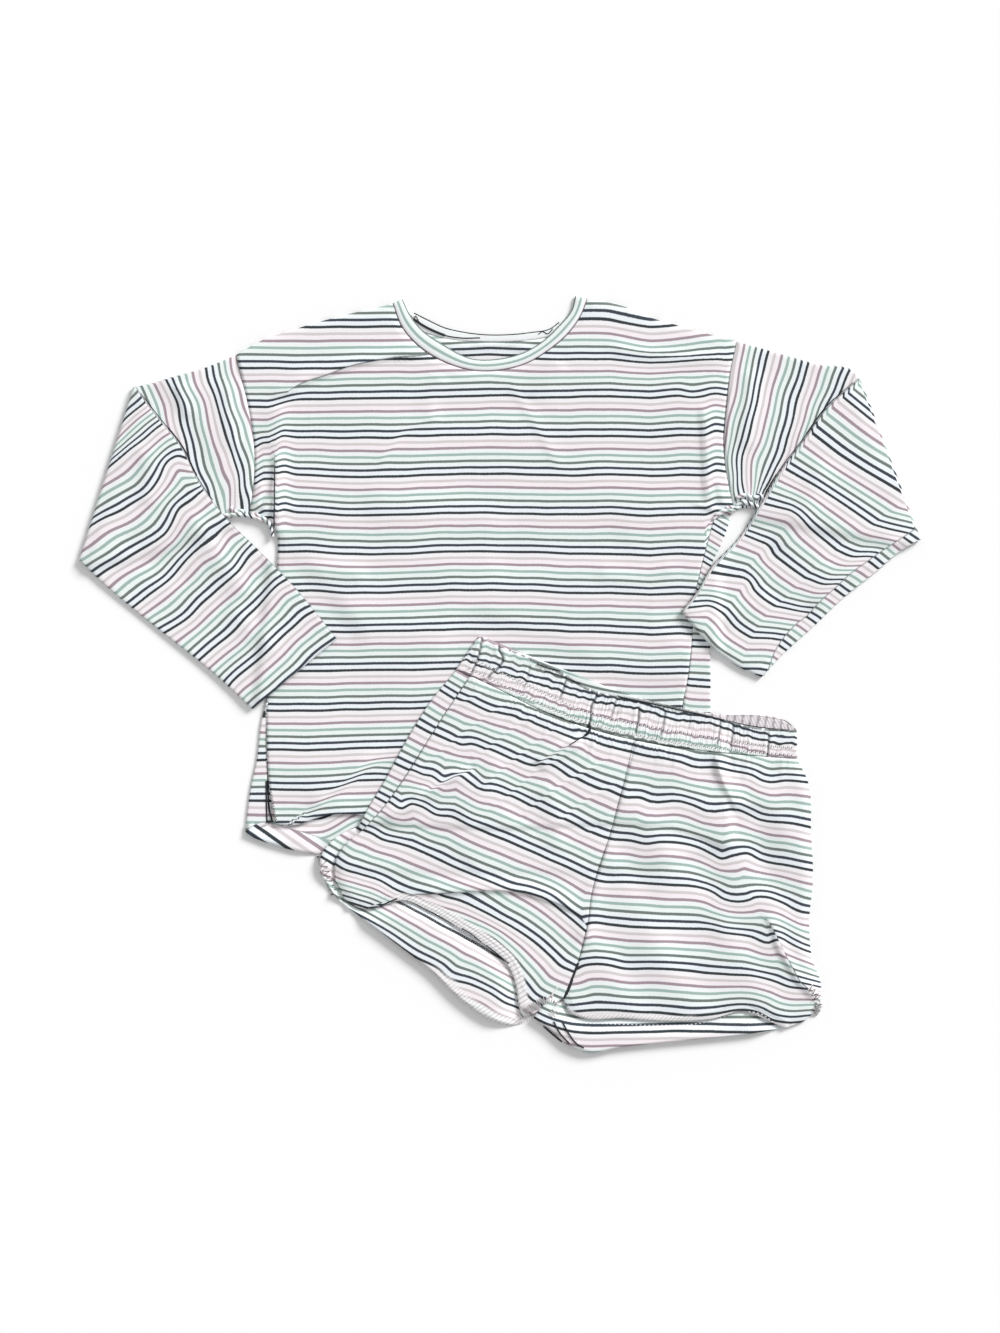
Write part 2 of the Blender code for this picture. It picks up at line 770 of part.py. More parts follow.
def make_sleeve(name, armhole, top_edge, under_edge, inner_edge, outer_edge, cuff, supports, up):
    """A tube from the armhole to the elbow, round the fold there, and back over itself to the cuff."""
    across = np.concatenate([[0], np.linspace(0.012, 0.988, 6), [1]])
    start, end = inner_edge[0], outer_edge[0]
    out = np.array((end[1] - start[1], start[0] - end[0]))
    out /= np.linalg.norm(out)
    if out @ (start - armhole[0]) < 0:
        out = -out
    crease = np.array((start, end)) - out * BEND_RADIUS
    elbow = along(crease, across)
    down = np.linspace(0, 1, 8)
    edges = zip(armhole[[0, -1]], (top_edge, under_edge), crease)
    rails = [along(np.vstack([first, edge[1:-1], last]), down) for first, edge, last in edges]
    upper = patch(along(armhole, across), elbow, *rails)
    down = np.linspace(0, 1, 14)
    edges = zip(crease, (inner_edge, outer_edge))
    rails = [along(np.vstack([first, edge[1:]]), down) for first, edge in edges]
    lower = patch(elbow, along(cuff, across), *rails)

    around, raised = ring(upper)
    covers = (np.vstack([inner_edge, outer_edge[::-1]]),)
    height = raised * (FLAT + lifted(around, PUFF_SLEEVE, SLEEVE_FOLDS, covers))
    rows = list(with_height(around, height))
    elbow_ring, _ = ring(upper[-1:])
    radius = BEND_RADIUS - raised * FLAT
    for turn in (0.25, 0.5, 0.75):
        spot = elbow_ring[0] + out * (radius * math.sin(turn * math.pi))[:, None]
        rows.append(np.column_stack([spot, BEND_RADIUS - radius * math.cos(turn * math.pi)]))
    around, _ = ring(lower)
    settled = eased(distance_to(around, crease) / PRESSED)
    lift = lifted(around, PUFF_SLEEVE, SLEEVE_FOLDS) * settled
    height = drape(around, supports) + (1 - raised) * (FLAT + lift)
    rows += list(with_height(around, height))
    return cloth(name, [(np.array(rows), up, True)], PALE_MAUVE)


def make_sleeves():
    make_sleeve(
        "sleeve_left",
        moved(armhole_left, x=-ARMHOLE_SEAM),
        curve(SLEEVE_LEFT_TOP),
        curve(SLEEVE_LEFT_UNDER),
        curve(FOREARM_LEFT_INNER),
        curve(FOREARM_LEFT_OUTER),
        curve(CUFF_LEFT),
        ((upper_left_outline, REST), (top_front_outline, REST)),
        False,
    )
    make_sleeve(
        "sleeve_right",
        moved(armhole_right, x=ARMHOLE_SEAM),
        curve(SLEEVE_RIGHT_TOP),
        curve(SLEEVE_RIGHT_UNDER),
        curve(FOREARM_RIGHT_INNER),
        curve(FOREARM_RIGHT_OUTER),
        curve(CUFF_RIGHT),
        ((upper_right_outline, REST), (top_front_outline, REST)),
        True,
    )


def make_neckband():
    """A strip round the neck. It lies face up along the front, folds at each shoulder, and runs behind."""
    sides = []
    for seam, free, height, columns in (
        (neck_front, curve(NECK_FRONT_FREE), NECKBAND_FRONT_HEIGHT, NECK_FRONT_COLUMNS),
        (neck_back[::-1], curve(NECK_BACK_FREE)[::-1], NECKBAND_BACK_HEIGHT, NECK_BACK_COLUMNS),
    ):
        stations = np.linspace(0, 1, columns + 1)
        low, high = along(seam, stations), along(free, stations)
        low = low + (high - low) * 0.06
        raised = NECKBAND_RAISED if height == NECKBAND_FRONT_HEIGHT else 0
        lines = ((low, height), ((low + high) / 2, height + raised), (high, height))
        sides.append(np.stack([with_height(line[None], tall)[0] for line, tall in lines], axis=1))
    front, back = sides
    radius = (NECKBAND_FRONT_HEIGHT - NECKBAND_BACK_HEIGHT) / 2
    rows = list(front)
    rows.append((front[-1] + back[0]) / 2 + (0, radius, 0))
    rows += list(back)
    rows.append((back[-1] + front[0]) / 2 + (0, radius, 0))
    rows = np.array(rows).transpose(1, 0, 2)
    return cloth("neckband", [(rows, False, True)], PALE_MINT, NECKBAND_WALL, 0.0)


# ---- pieces of the shorts ----

under_shorts = ((top_front_outline, REST), (top_back_outline, WALL + GAP))


def gather_relief(points):
    """The ridges that run down from the waistband and fade into the front."""
    samples = np.linspace(0, 1, 121)
    line = along(waist_front, samples)
    away = np.linalg.norm(points[..., None, :] - line, axis=-1)
    share = samples[np.argmin(away, axis=-1)]
    return GATHER_HEIGHT * gathers(share) * (1 - eased(away.min(axis=-1) / GATHER_FADE))


def shorts_front(name, points, edges):
    lift = lifted(points, PUFF_SHORTS, SHORTS_FOLDS) + gather_relief(points)
    height = drape(points, under_shorts) + FLAT + lift * eased(
        0.25 + np.min([distance_to(points, edge) for edge in edges], axis=0) / PRESSED
    ) - sunk(points, edges)
    return cloth(name, [(with_height(points, height), True, False)], PALE_NAVY)


def make_shorts_fronts():
    side_seam = curve(SHORTS_SIDE_SEAM)
    right_edge = curve(SHORTS_RIGHT)
    hem_left = curve(HEM_LEFT_FRONT)
    hem_right = curve(HEM_RIGHT_FRONT)

    across = np.linspace(0, 1, 13)
    down = stops(12, 4)
    waist = along(waist_front, WAIST_SIDE_SEAM + (WAIST_CENTRE - WAIST_SIDE_SEAM) * across)
    waist = moved(waist, y=-WAIST_SEAM)
    hem_curl = curve(HEM_LEFT_CURL)
    left = joined(down, moved(side_seam, x=SEAM), moved(hem_curl, x=SEAM))
    right_rows = np.interp(down, (0, 1, 1.5, 2), (0, 0.82, 1, 2))
    right = moved(joined(right_rows, centre_front, curve(INSEAM_LEFT)), x=-SEAM)
    bottom = along(hem_left, across)
    waist[0], waist[-1], bottom[0], bottom[-1] = left[0], right[0], left[-1], right[-1]
    shorts_front("shorts_front_left", patch(waist, bottom, left, right), (hem_left, hem_curl))

    down = np.linspace(0, 1, 16)
    waist = moved(along(waist_front, WAIST_CENTRE + (1 - WAIST_CENTRE) * across), y=-WAIST_SEAM)
    left = moved(along(centre_front, down), x=SEAM)
    right = along(right_edge, down)
    bottom = along(hem_right, across)
    waist[0], waist[-1], bottom[0], bottom[-1] = left[0], right[0], left[-1], right[-1]
    edges = (hem_right, right_edge)
    shorts_front("shorts_front_right", patch(waist, bottom, left, right), edges)


def make_shorts_backs():
    across = np.linspace(0, 1, 10)
    rows = stops(12, 3)
    outline = moved(curve(SHORTS_LEFT), x=ROLL * 0.85, y=-ROLL * 1.2)
    leg = np.vstack([outline[-1:], curve(SHORTS_LEFT_LEG)[1:]])
    left = joined(rows, outline, leg)
    right_rows = np.interp(rows, (0, 1, 2), (0, 0.8, 1))
    right = moved(along(centre_back, right_rows), x=-SEAM)
    top = moved(along(waist_front, WAIST_CENTRE * across), y=-WAIST_SEAM)
    bottom = along(curve(HEM_LEFT_BACK), across)
    top[0], top[-1], bottom[-1] = left[0], right[0], right[-1]
    main = patch(top, bottom, left, right)
    height = drape(main, under_shorts)
    wrapped = rows <= 1
    seam = along(curve(SHORTS_SIDE_SEAM), rows[wrapped])
    flap = wrapped_side(main[wrapped, 0], seam, height[wrapped, 0], -1)
    grids = [(with_height(main, height), False, False), (flap, False, False)]
    cloth("shorts_back_left", grids, PALE_NAVY)

    down = np.linspace(0, 1, 15)
    left = moved(along(centre_back, down), x=SEAM)
    right = along(curve(SHORTS_RIGHT), down)
    top = moved(along(waist_front, WAIST_CENTRE + (1 - WAIST_CENTRE) * across), y=-WAIST_SEAM)
    bottom = along(curve(HEM_RIGHT_BACK), across)
    top[0], top[-1], bottom[0] = left[0], right[0], left[-1]
    main = patch(top, bottom, left, right)
    cloth("shorts_back_right", [(with_height(main, drape(main, under_shorts)), False, False)], PALE_NAVY)


def make_waistband():
    """A ring of gathered band: its front on top of its back, open at both edges."""
    shares = np.linspace(0.005, 0.995, GATHERS * 3)
    back_shares = np.linspace(0.995, 0.005, 22)
    front = [along(line, shares) for line in (curve(BAND_TOP_FRONT), waist_front)]
    back = [along(line, back_shares) for line in (curve(BAND_TOP_BACK), waist_front)]
    radius = WAISTBAND_FLAT / 2
    rows = []
    for drop in (0, 0.5, 1):
        plan = front[0] + (front[1] - front[0]) * drop
        under = back[0] + (back[1] - back[0]) * drop
        ridge = GATHER_HEIGHT * gathers(shares) * eased(8 * np.minimum(shares, 1 - shares))
        upper = np.column_stack([plan, drape(plan[None], under_shorts)[0] + WAISTBAND_FLAT + ridge])
        lower = np.column_stack([under, drape(under[None], under_shorts)[0]])
        ends = []
        for first, last, sign in ((upper[-1], lower[0], 1), (lower[-1], upper[0], -1)):
            for turn in (0.25, 0.5, 0.75):
                share = (1 - math.cos(turn * math.pi)) / 2
                spot = first + (last - first) * share
                spot[0] += sign * radius * math.sin(turn * math.pi)
                ends.append(spot)
        rows.append(np.vstack([upper, ends[:3], lower, ends[3:]]))
    return cloth("waistband", [(np.array(rows), True, True)], PALE_MAUVE, WAISTBAND_WALL)


for leftover in list(bpy.data.objects):
    bpy.data.objects.remove(leftover, do_unlink=True)
make_top_front()
make_top_back()
make_sleeves()
make_neckband()
make_shorts_fronts()
make_shorts_backs()
make_waistband()
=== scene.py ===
import math

import bpy
import numpy as np
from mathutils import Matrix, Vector
from mathutils.bvhtree import BVHTree


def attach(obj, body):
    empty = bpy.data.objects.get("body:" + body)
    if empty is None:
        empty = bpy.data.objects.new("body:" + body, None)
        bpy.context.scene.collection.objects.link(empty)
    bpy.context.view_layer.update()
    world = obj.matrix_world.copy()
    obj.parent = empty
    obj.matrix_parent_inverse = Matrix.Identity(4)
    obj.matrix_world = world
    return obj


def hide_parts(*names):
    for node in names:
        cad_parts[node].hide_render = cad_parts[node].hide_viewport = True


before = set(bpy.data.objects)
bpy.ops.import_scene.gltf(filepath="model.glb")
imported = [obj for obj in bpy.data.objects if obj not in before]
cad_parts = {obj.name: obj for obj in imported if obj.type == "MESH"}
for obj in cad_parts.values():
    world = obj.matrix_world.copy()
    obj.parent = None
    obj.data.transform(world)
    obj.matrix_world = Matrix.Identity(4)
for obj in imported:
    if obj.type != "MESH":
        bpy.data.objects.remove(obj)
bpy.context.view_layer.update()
print("frame loaded")

# The set lies on z = 0, metres, the top's neck towards +Y. Each piece is the outer face of
# its cloth, with a thin wall behind it, and carries how far it is through the stripes.

jersey = dict(
    wall=0.0007,  # one layer
    flat=0.003,  # a front and a back laid on each other
    rest=0.0033,  # what lies on two layers
    roll=0.0015,  # a side that wraps over
    seam=0.00015,
    edgeDrop=0.0007,
    edgeWidth=0.007,
    repeat=0.0427,  # one run of six stripes
    ledge=0.004,  # how one layer comes down from another
    slope=0.014,
    pressed=0.010,  # cloth lies flat this near to what covers it
    rise=0.026,
    reach=0.03,  # how far beside a crease its mark is kept
)


def mm(*places):  # x and y by turns, in millimetres
    return np.array(places, float).reshape(-1, 2) / 1000


def fold(height, left, right, *places, line=None):  # its height and its widths on both sides of a line
    return height / 1000, left / 1000, right / 1000, mm(*places) if line is None else line


# outlines, each from its upper or left end, those of the sleeves from the armhole or elbow
outlines = dict(
    shoulderLeft=(-290, 350, -262, 366, -227, 378, -174, 393, -118, 406),
    shoulderRight=(96, 411, 131, 405, 166, 391, 201, 381, 260, 365),
    neckFront=(
        -118, 406, -109, 382, -87, 357, -60.5, 341.5, -31, 333, 0, 333, 29, 340.5, 52, 354, 76, 374.5,
        90, 395.5, 96, 411,
    ),
    neckFrontFree=(
        -107, 411, -100, 396, -90, 382, -61.5, 361, -31, 346, 0, 346, 28.6, 354, 44, 363, 64, 381.5, 79, 400,
        82.5, 413.5,
    ),
    neckBack=(
        -118, 406, -110, 391, -97, 380, -75, 372, -44, 366, -11, 364.5, 27.5, 366, 58, 372, 82, 388, 96, 411,
    ),
    neckBackFree=(
        -107, 411, -101, 400, -82.5, 390.5, -54, 378, -16.5, 373, 22, 373.5, 57, 380, 73, 393, 82.5, 413.5,
    ),
    armholeLeft=(-290, 350, -280.5, 311, -273, 273, -269.5, 235, -271, 204, -276, 174),
    armholeRight=(260, 365, 253, 332, 249, 295, 246, 250, 247.5, 229, 256, 182),
    sideLeft=(-276, 174, -263, 171.5, -251, 164.5, -245, 117, -252, 37, -257, -28),
    ventLeft=(-257, -28, -256.5, -70, -256, -115, -255, -165.5),
    outlineLowLeft=(-257, -28, -263, -55, -267, -91, -274.5, -127, -280.5, -176.5),
    underarmRight=(256, 182, 244, 180, 235, 171),
    sideRight=(235, 171, 223, 124, 214.5, 85, 211, 37, 206, -6, 201, -35, 202, -95, 217, -168),
    outlineRight=(253, 169, 241.5, 138, 234, 124, 231, 81, 231.5, 0, 232, -43.5, 236.5, -106, 246, -181),
    hemFront=(
        -255, -165.5, -233, -166.5, -213, -160, -194, -155, -153, -156, 0, -161, 150, -157, 185, -160,
        217, -168,
    ),
    hemBack=(-280.5, -176.5, -255, -186.5, -224, -195, -198, -200, 0, -207, 165, -201, 246, -181),
    sleeveLeftTop=(-290, 350, -319, 338, -363, 325, -385, 318.5, -402.6, 316),
    sleeveLeftUnder=(-276, 174, -301, 170, -385, 141, -463, 124),
    forearmLeftInner=(
        -402.6, 316, -375, 281, -350, 249, -332, 213, -299, 169, -263, 133.5, -223, 92, -179, 38,
    ),
    forearmLeftOuter=(-463, 124, -428, 92, -372, 46, -316, 1.5, -272, -39),
    cuffLeft=(-179, 38, -272, -39),
    sleeveRightTop=(260, 365, 308, 351.5, 353, 339, 386, 334, 396, 325),
    sleeveRightUnder=(256, 182, 277, 181, 363, 165.5, 463, 147),
    forearmRightInner=(
        396, 325, 385, 316, 359, 292, 335, 259, 308, 223, 284, 183, 263, 150, 232, 117, 214.5, 87.5, 199, 68,
    ),
    forearmRightOuter=(463, 147, 443, 136, 414, 112, 377, 82.5, 344, 51, 313.5, 23.5, 288, -4),
    cuffRight=(199, 68, 229, 33.5, 265, 6, 288, -4),
    waistFront=(-48, 5, 0, -18, 44, -40, 107, -63, 170.5, -77.5, 233, -86, 327, -94),
    bandTopFront=(-23, 42, 14, 25, 56, 8, 107, -20, 154, -28, 219, -43, 275, -58, 326, -63),
    bandTopBack=(-23, 42, 56, 10, 154, -27, 219, -42, 250, -45.5, 278, -45.5, 309, -50, 326, -61),
    shortsLeft=(-48, 5, -76.5, -30, -103, -73, -128, -119, -146, -149, -156, -168),
    shortsLeftLeg=(-156, -168, -180, -180, -197, -201, -198, -217, -190, -231.5, -176, -251),
    shortsSideSeam=(-33.5, -4.2, -57, -39, -80, -75, -103, -112, -133, -153, -152, -173),
    centreFront=(147, -74.1, 141, -101, 128, -150, 115.5, -194, 100, -244, 96, -277, 82.5, -326, 69, -357),
    centreBack=(147, -74.1, 128, -150, 105, -244, 72, -330, 36.5, -378),
    inseamLeft=(69, -357, 48, -369, 25, -378),
    hemLeftCurl=(-152, -173, -168, -185, -180, -203, -181.5, -227, -170.5, -248),
    hemLeftFront=(
        -170.5, -248, -153, -258, -125, -253.5, -108, -249, -79, -260, -41, -282, -11, -302, 9, -321,
        17.6, -344, 21, -367, 25, -378,
    ),
    hemLeftBack=(-176, -251, -139, -278, -103, -305, -76, -326, -41, -360, -11, -380, 15, -387, 36.5, -378),
    shortsRight=(
        327, -95.2, 338, -117, 342, -175, 344, -227, 340, -272, 343, -313, 353, -344, 352, -358, 337, -380,
        313.5, -390,
    ),
    hemRightFront=(
        69, -357, 77, -372.5, 89, -378, 134, -379, 192.5, -382, 235, -379, 268, -371, 291.5, -380,
        313.5, -390,
    ),
    hemRightBack=(
        36.5, -378, 54, -390, 78, -410, 93.5, -415.5, 134, -410, 201, -403, 266, -396.5, 313.5, -390,
    ),
)

# where the first stripe of each run crosses the cloth
guides = dict(
    forearmLeft={
        -1: mm(-415.8, 274.5, -403.7, 285.5, -391.6, 295.4, -381.7, 305.3),
        0: mm(-430.1, 227.2, -407, 245.9, -387.2, 260.2, -376.2, 270.1, -367.4, 277.7),
        1: mm(
            -454.3, 157.9, -442.2, 165.6, -403.7, 187.6, -385, 200.8, -372.9, 215.1, -364.1, 232.6,
            -354.2, 238.2, -341, 234.9,
        ),
        2: mm(
            -444.4, 106.2, -434.5, 111.6, -404.8, 129.3, -369.6, 152.4, -359.7, 166.6, -352, 182.1,
            -334.4, 195.3, -321.2, 204.1,
        ),
        3: mm(
            -403.7, 72.1, -397.1, 78.7, -372.9, 96.3, -346.5, 121.6, -322.3, 144.7, -304.7, 159,
            -292.6, 168.9,
        ),
        4: mm(-368.5, 44.6, -361.9, 49, -339.9, 65.5, -314.6, 88.6, -288.2, 110.6, -273.9, 129.3, -264, 137),
        5: mm(-332.2, 13.8, -325.6, 19.2, -305.8, 35.7, -281.6, 58.8, -258.5, 82, -244.2, 98.5, -235.4, 104),
        6: mm(-299.2, -16, -293.7, -8.3, -275, 7.2, -251.9, 28.1, -228.8, 49, -213.4, 64.4, -202.4, 69.9),
        7: mm(-265.1, -42.3, -245.3, -24.8, -222.2, -5, -200.2, 16, -182.6, 29.2),
    },
    upperLeft={
        -1: mm(
            -281.6, 353.7, -279.4, 332.7, -272.8, 315.2, -262.9, 284.4, -253, 250.3, -246.4, 223.9,
            -242, 199.6, -240.9, 177.7,
        ),
        0: mm(
            -324.5, 340.5, -322.3, 324, -314.6, 305.3, -304.7, 274.5, -294.8, 241.5, -288.2, 215.1,
            -284.9, 196.4, -282.7, 177.7,
        ),
        1: mm(
            -368.5, 327.2, -361.9, 315.2, -354.2, 298.7, -350.9, 281.1, -346.5, 259.1, -339.9, 229.4,
            -332.2, 208.5, -316.8, 168.9,
        ),
        2: mm(-409.2, 314, -403.7, 300.9, -393.8, 273.4, -385, 243.7, -376.2, 212.9, -363, 174.4),
    },
    forearmRight={
        -2: mm(377.3, 308.5, 388.3, 299.8, 409.2, 285.5, 432.3, 273.4),
        -1: mm(338.8, 271.2, 352, 261.2, 374, 247, 412.5, 223.9, 453.2, 197.5),
        0: mm(314.6, 233.8, 326.7, 227.2, 347.6, 214, 379.5, 192, 413.6, 167.8, 436.7, 153.5, 456.5, 141.4),
        1: mm(292.6, 201.9, 302.5, 199.6, 321.2, 181, 348.7, 157.9, 377.3, 133.7, 403.7, 124.3, 420.2, 111.6),
        2: mm(
            268.4, 165.6, 275, 162.3, 279.4, 153.5, 293.7, 141.4, 320.1, 122.7, 347.6, 101.8, 367.4, 94.1,
            382.8, 83.1,
        ),
        3: mm(
            242, 126, 254.1, 123.8, 258.5, 114.9, 265.1, 107.3, 291.5, 89.7, 320.1, 72.1, 336.6, 62.2,
            349.8, 52.3,
        ),
        4: mm(203.5, 94, 214, 95, 224.4, 88.6, 238.7, 72.1, 262.9, 56.7, 289.3, 42.3, 304.7, 32.4, 319, 23.7),
        5: mm(189.2, 61.1, 209, 40.2, 233.2, 24.8, 259.6, 9.4, 275, 0.6, 288.2, -9.4),
    },
    upperRight={
        -1: mm(
            242, 185.4, 237.6, 212.9, 235.4, 240.4, 237.6, 267.9, 243.1, 298.7, 250.8, 328.4, 254.1, 355.8,
        ),
        0: mm(
            271.7, 182.1, 268.4, 199.6, 265.1, 215.1, 265.1, 232.6, 269.5, 253.5, 279.4, 287.7, 286, 318.5,
            293.7, 347.1,
        ),
        1: mm(284, 183, 289.3, 199.6, 300.3, 221.7, 312.4, 244.8, 321.2, 278.9, 330, 310.8, 337.7, 338.2),
        2: mm(349.8, 256.9, 360.8, 284.4, 371.8, 305.3, 381.7, 327.2),
    },
    shorts={
        0: mm(
            -57.2, 23.7, -39.6, 13.8, -22, 9.4, 0, 1.7, 22, -5, 44, -11.6, 77, -22.6, 110, -31.4, 154, -39.1,
            187, -49.5, 220, -53.4, 242, -57.8, 264, -66.6, 297, -74.8, 326.7, -78.1, 346.5, -80.9,
        ),
        1: mm(
            -66, -18.2, -49.5, -25.9, -33, -31.9, -11, -40.5, 11, -45.2, 33, -52.3, 55, -60.4, 77, -67.7,
            92.4, -70.9, 110, -77.6, 132, -83.1, 165, -91.2, 198, -96.3, 211.2, -101.2, 239.8, -102.9,
            253, -106.2, 277.2, -111.6, 289.3, -117.7, 297, -119.4, 313.5, -117.7, 338.8, -119.4,
        ),
        2: mm(
            -92.4, -56.7, -73.7, -65.5, -55, -72.6, -44, -77.6, -30.8, -77.1, -11, -83.3, 11, -92.1,
            33, -100.2, 44, -100.7, 55, -102.3, 77, -113.3, 99, -122.7, 121, -128.7, 138.6, -135.3,
            154, -135.9, 165, -140.3, 198, -140.3, 211.2, -144.1, 226.6, -151.2, 261.8, -150.2, 272.8, -154.6,
            286, -161.2, 319, -164.5, 341, -168.9,
        ),
        3: mm(
            -114.4, -98.5, -96.8, -105.1, -85.8, -109.7, -74.8, -111.1, -61.6, -117.2, -48.4, -113.3,
            -33, -120.9, -19.8, -128.2, -8.8, -128.5, 11, -133.9, 33, -143.1, 55, -153.5, 77, -162.7,
            101.2, -174.4, 121, -181, 143, -183.2, 159.5, -186.5, 176, -184.3, 198, -185.9, 220, -192.2,
            233.2, -198.6, 243.1, -203.3, 255.2, -199.6, 271.7, -197, 286, -204.6, 319, -211.1, 343.2, -215.6,
        ),
        4: mm(
            -137.5, -135.9, -123.2, -140.3, -107.8, -148.5, -96.8, -143.1, -85.8, -146.3, -70.4, -155.1,
            -52.8, -157.4, -33, -166.4, -11, -176.3, 11, -185.1, 33, -194.4, 55, -204.8, 77, -214.6,
            106.7, -227.4, 143, -229.6, 187, -232, 224.4, -236.5, 233.2, -240.1, 246.4, -248.1, 272.8, -248.9,
            279.4, -245.6, 292.6, -245.2, 308, -250.3, 330, -259.6, 343.2, -261.8,
        ),
        5: mm(
            -165, -163.4, -150.7, -171.6, -140.8, -175.5, -129.8, -181.6, -110, -186.7, -77, -199.9,
            -33, -219, -11, -227.9, 11, -236.7, 33, -241.5, 49.5, -247.5, 63.8, -258, 77, -269, 88, -275.6,
            101.2, -272.8, 121, -275.8, 165, -278.4, 209, -280.2, 233.2, -281.3, 247.5, -284.8, 275, -289.4,
            294.8, -296, 303.6, -292.1, 319, -297.6, 343.2, -308,
        ),
        6: mm(
            -191.4, -199.6, -182.6, -208.5, -170.5, -216.2, -154, -220.6, -132, -227.2, -114.4, -237.6,
            -102.3, -242.6, -83.6, -246.8, -61.6, -251.2, -44, -256.2, -11, -265.4, 11, -277.1, 33, -291.6,
            55, -310.8, 67.1, -321.7, 78.1, -326.2, 92.4, -320.1, 110, -319, 123.2, -320.7, 136.4, -324,
            165, -323.5, 209, -326.9, 253, -330.6, 277.2, -332.1, 299.2, -336.9, 319, -343.8, 333.3, -345.4,
            349.8, -347.1,
        ),
        7: mm(
            -195, -243, -120, -265, -60, -283, -13.2, -299.8, 0, -313, 14.3, -331.7, 24.2, -344.9,
            35.2, -358.1, 50.6, -365.8, 72.6, -371.3, 90.2, -370.7, 110, -369.6, 143, -370.6, 176, -373,
            209, -376.2, 233.2, -374.5, 261.8, -369.6, 281.6, -371.3, 299.2, -380, 319, -383.4, 343.2, -381.2,
        ),
    },
    shortsBack={
        0: mm(-57.2, 23.7, -39.6, 13.8, 22, -11.6, 110, -33.6, 220, -58.8, 326.7, -80.9),
        1: mm(-66, -18.2, -49.5, -28.6, 22, -57.8, 110, -84.2, 220, -106.2, 338.8, -123.8),
        2: mm(-92.4, -56.7, -73.7, -66.6, 0, -97.4, 110, -139.1, 220, -155.7, 341, -172.1),
        3: mm(-114.4, -98.5, -96.8, -106.7, -22, -141.4, 110, -192, 220, -203, 343.2, -218.4),
        4: mm(-137.5, -135.9, -123.2, -143.6, -44, -181, 105.6, -242.6, 220, -247, 343.2, -262.4),
        5: mm(-165, -164.5, -150.7, -173.2, -88, -211.8, 0, -254.7, 99, -291, 220, -293.2, 343.2, -304.2),
        6: mm(
            -187, -207.4, -154, -229.4, -88, -263.5, -44, -287.7, 0, -313, 66, -342.7, 132, -348.2, 220, -346,
            343.2, -348.2,
        ),
        7: mm(
            -162.8, -269, -132, -284.4, -110, -299.8, -93.5, -310.8, -68.2, -322.9, -56.1, -333.9, -33, -341,
            -11, -350.4, 5.5, -361.4, 18.7, -366.9, 49.5, -383.4, 90.2, -394.4, 132, -394, 209, -393.3,
            269.5, -393.8, 343.2, -390,
        ),
    },
    underFold={
        5.333: mm(-20, -215, 14.2, -242.1, 36.2, -255.4, 67.5, -278.9, 91.2, -297.9),
        6: mm(
            -120, -215, -61.6, -244.2, -44, -249.2, -11, -265.4, 11, -277.1, 33, -291.6, 55, -310.8,
            67.1, -321.7, 78.1, -326.2,
        ),
        7: mm(
            -195, -243, -120, -265, -60, -283, -13.2, -299.8, 0, -313, 14.3, -331.7, 24.2, -344.9,
            35.2, -358.1, 50.6, -365.8,
        ),
    },
)


def curve(spots, steps=8):  # a smooth line through the spots
    known = np.array(spots, float)
    if len(known) == 2:
        return known
    gaps = np.linalg.norm(np.diff(known, axis=0), axis=1)[:, None]
    slopes = np.diff(known, axis=0) / gaps
    inner = (slopes[:-1] * gaps[1:] + slopes[1:] * gaps[:-1]) / (gaps[:-1] + gaps[1:])
    tangents = np.vstack([slopes[:1], inner, slopes[-1:]])
    runs = []
    for t in np.arange(steps) / steps:
        start = (1 + 2 * t) * (1 - t) ** 2 * known[:-1] + t * (1 - t) ** 2 * gaps * tangents[:-1]
        end = t * t * (3 - 2 * t) * known[1:] + t * t * (t - 1) * gaps * tangents[1:]
        runs.append(start + end)
    return np.vstack([np.stack(runs, axis=1).reshape(-1, 2), known[-1:]])


def moved(line, x=0.0, y=0.0):
    return line + np.array((x, y))


def partsOf(line):  # the lengths of a line's parts
    return np.linalg.norm(np.diff(line, axis=0), axis=1)


def travelledOn(line):  # how far along a line each of its points lies
    return np.concatenate([[0], np.cumsum(partsOf(line))])


def unit(vectors):
    return vectors / np.linalg.norm(vectors, axis=-1, keepdims=True)


def along(line, shares):  # the points at these shares of a line's length
    lengths = travelledOn(line)
    wanted = np.asarray(shares) * lengths[-1]
    return np.stack([np.interp(wanted, lengths, line[:, axis]) for axis in (0, 1)], axis=-1)


def stops(*counts):  # evenly spaced places along joined lines, whole numbers at their ends
    runs = [number + np.arange(count) / count for number, count in enumerate(counts)]
    return np.concatenate(runs + [[len(counts)]])


def joined(places, *lines):
    number = np.minimum(places.astype(int), len(lines) - 1)
    found = np.stack([along(line, np.clip(places - k, 0, 1)) for k, line in enumerate(lines)])
    return found[number, np.arange(len(places))]


def sharesBetween(first, second):
    first, second = partsOf(first), partsOf(second)
    total = np.concatenate([[0], np.cumsum(first / first.sum() + second / second.sum())])
    return total / total[-1]


def patch(top, bottom, left, right):  # fills four edges, in rows from the top edge down
    u = sharesBetween(top, bottom)[None, :, None]
    v = sharesBetween(left, right)[:, None, None]
    across = (1 - u) * left[:, None] + u * right[:, None]
    bows = [edge[None] - (1 - u) * edge[0] - u * edge[-1] for edge in (top, bottom)]
    return across + (1 - v) ** 3 * bows[0] + v**3 * bows[1]


def eased(share):
    share = np.clip(share, 0, 1)
    return share * share * (3 - 2 * share)


def onset(value, start, over):  # 0 up to the start, then softly to 1 over this length
    return eased((value - start) / over)


def hill(value, middle, width):
    return np.exp(-(((value - middle) / width) ** 2))


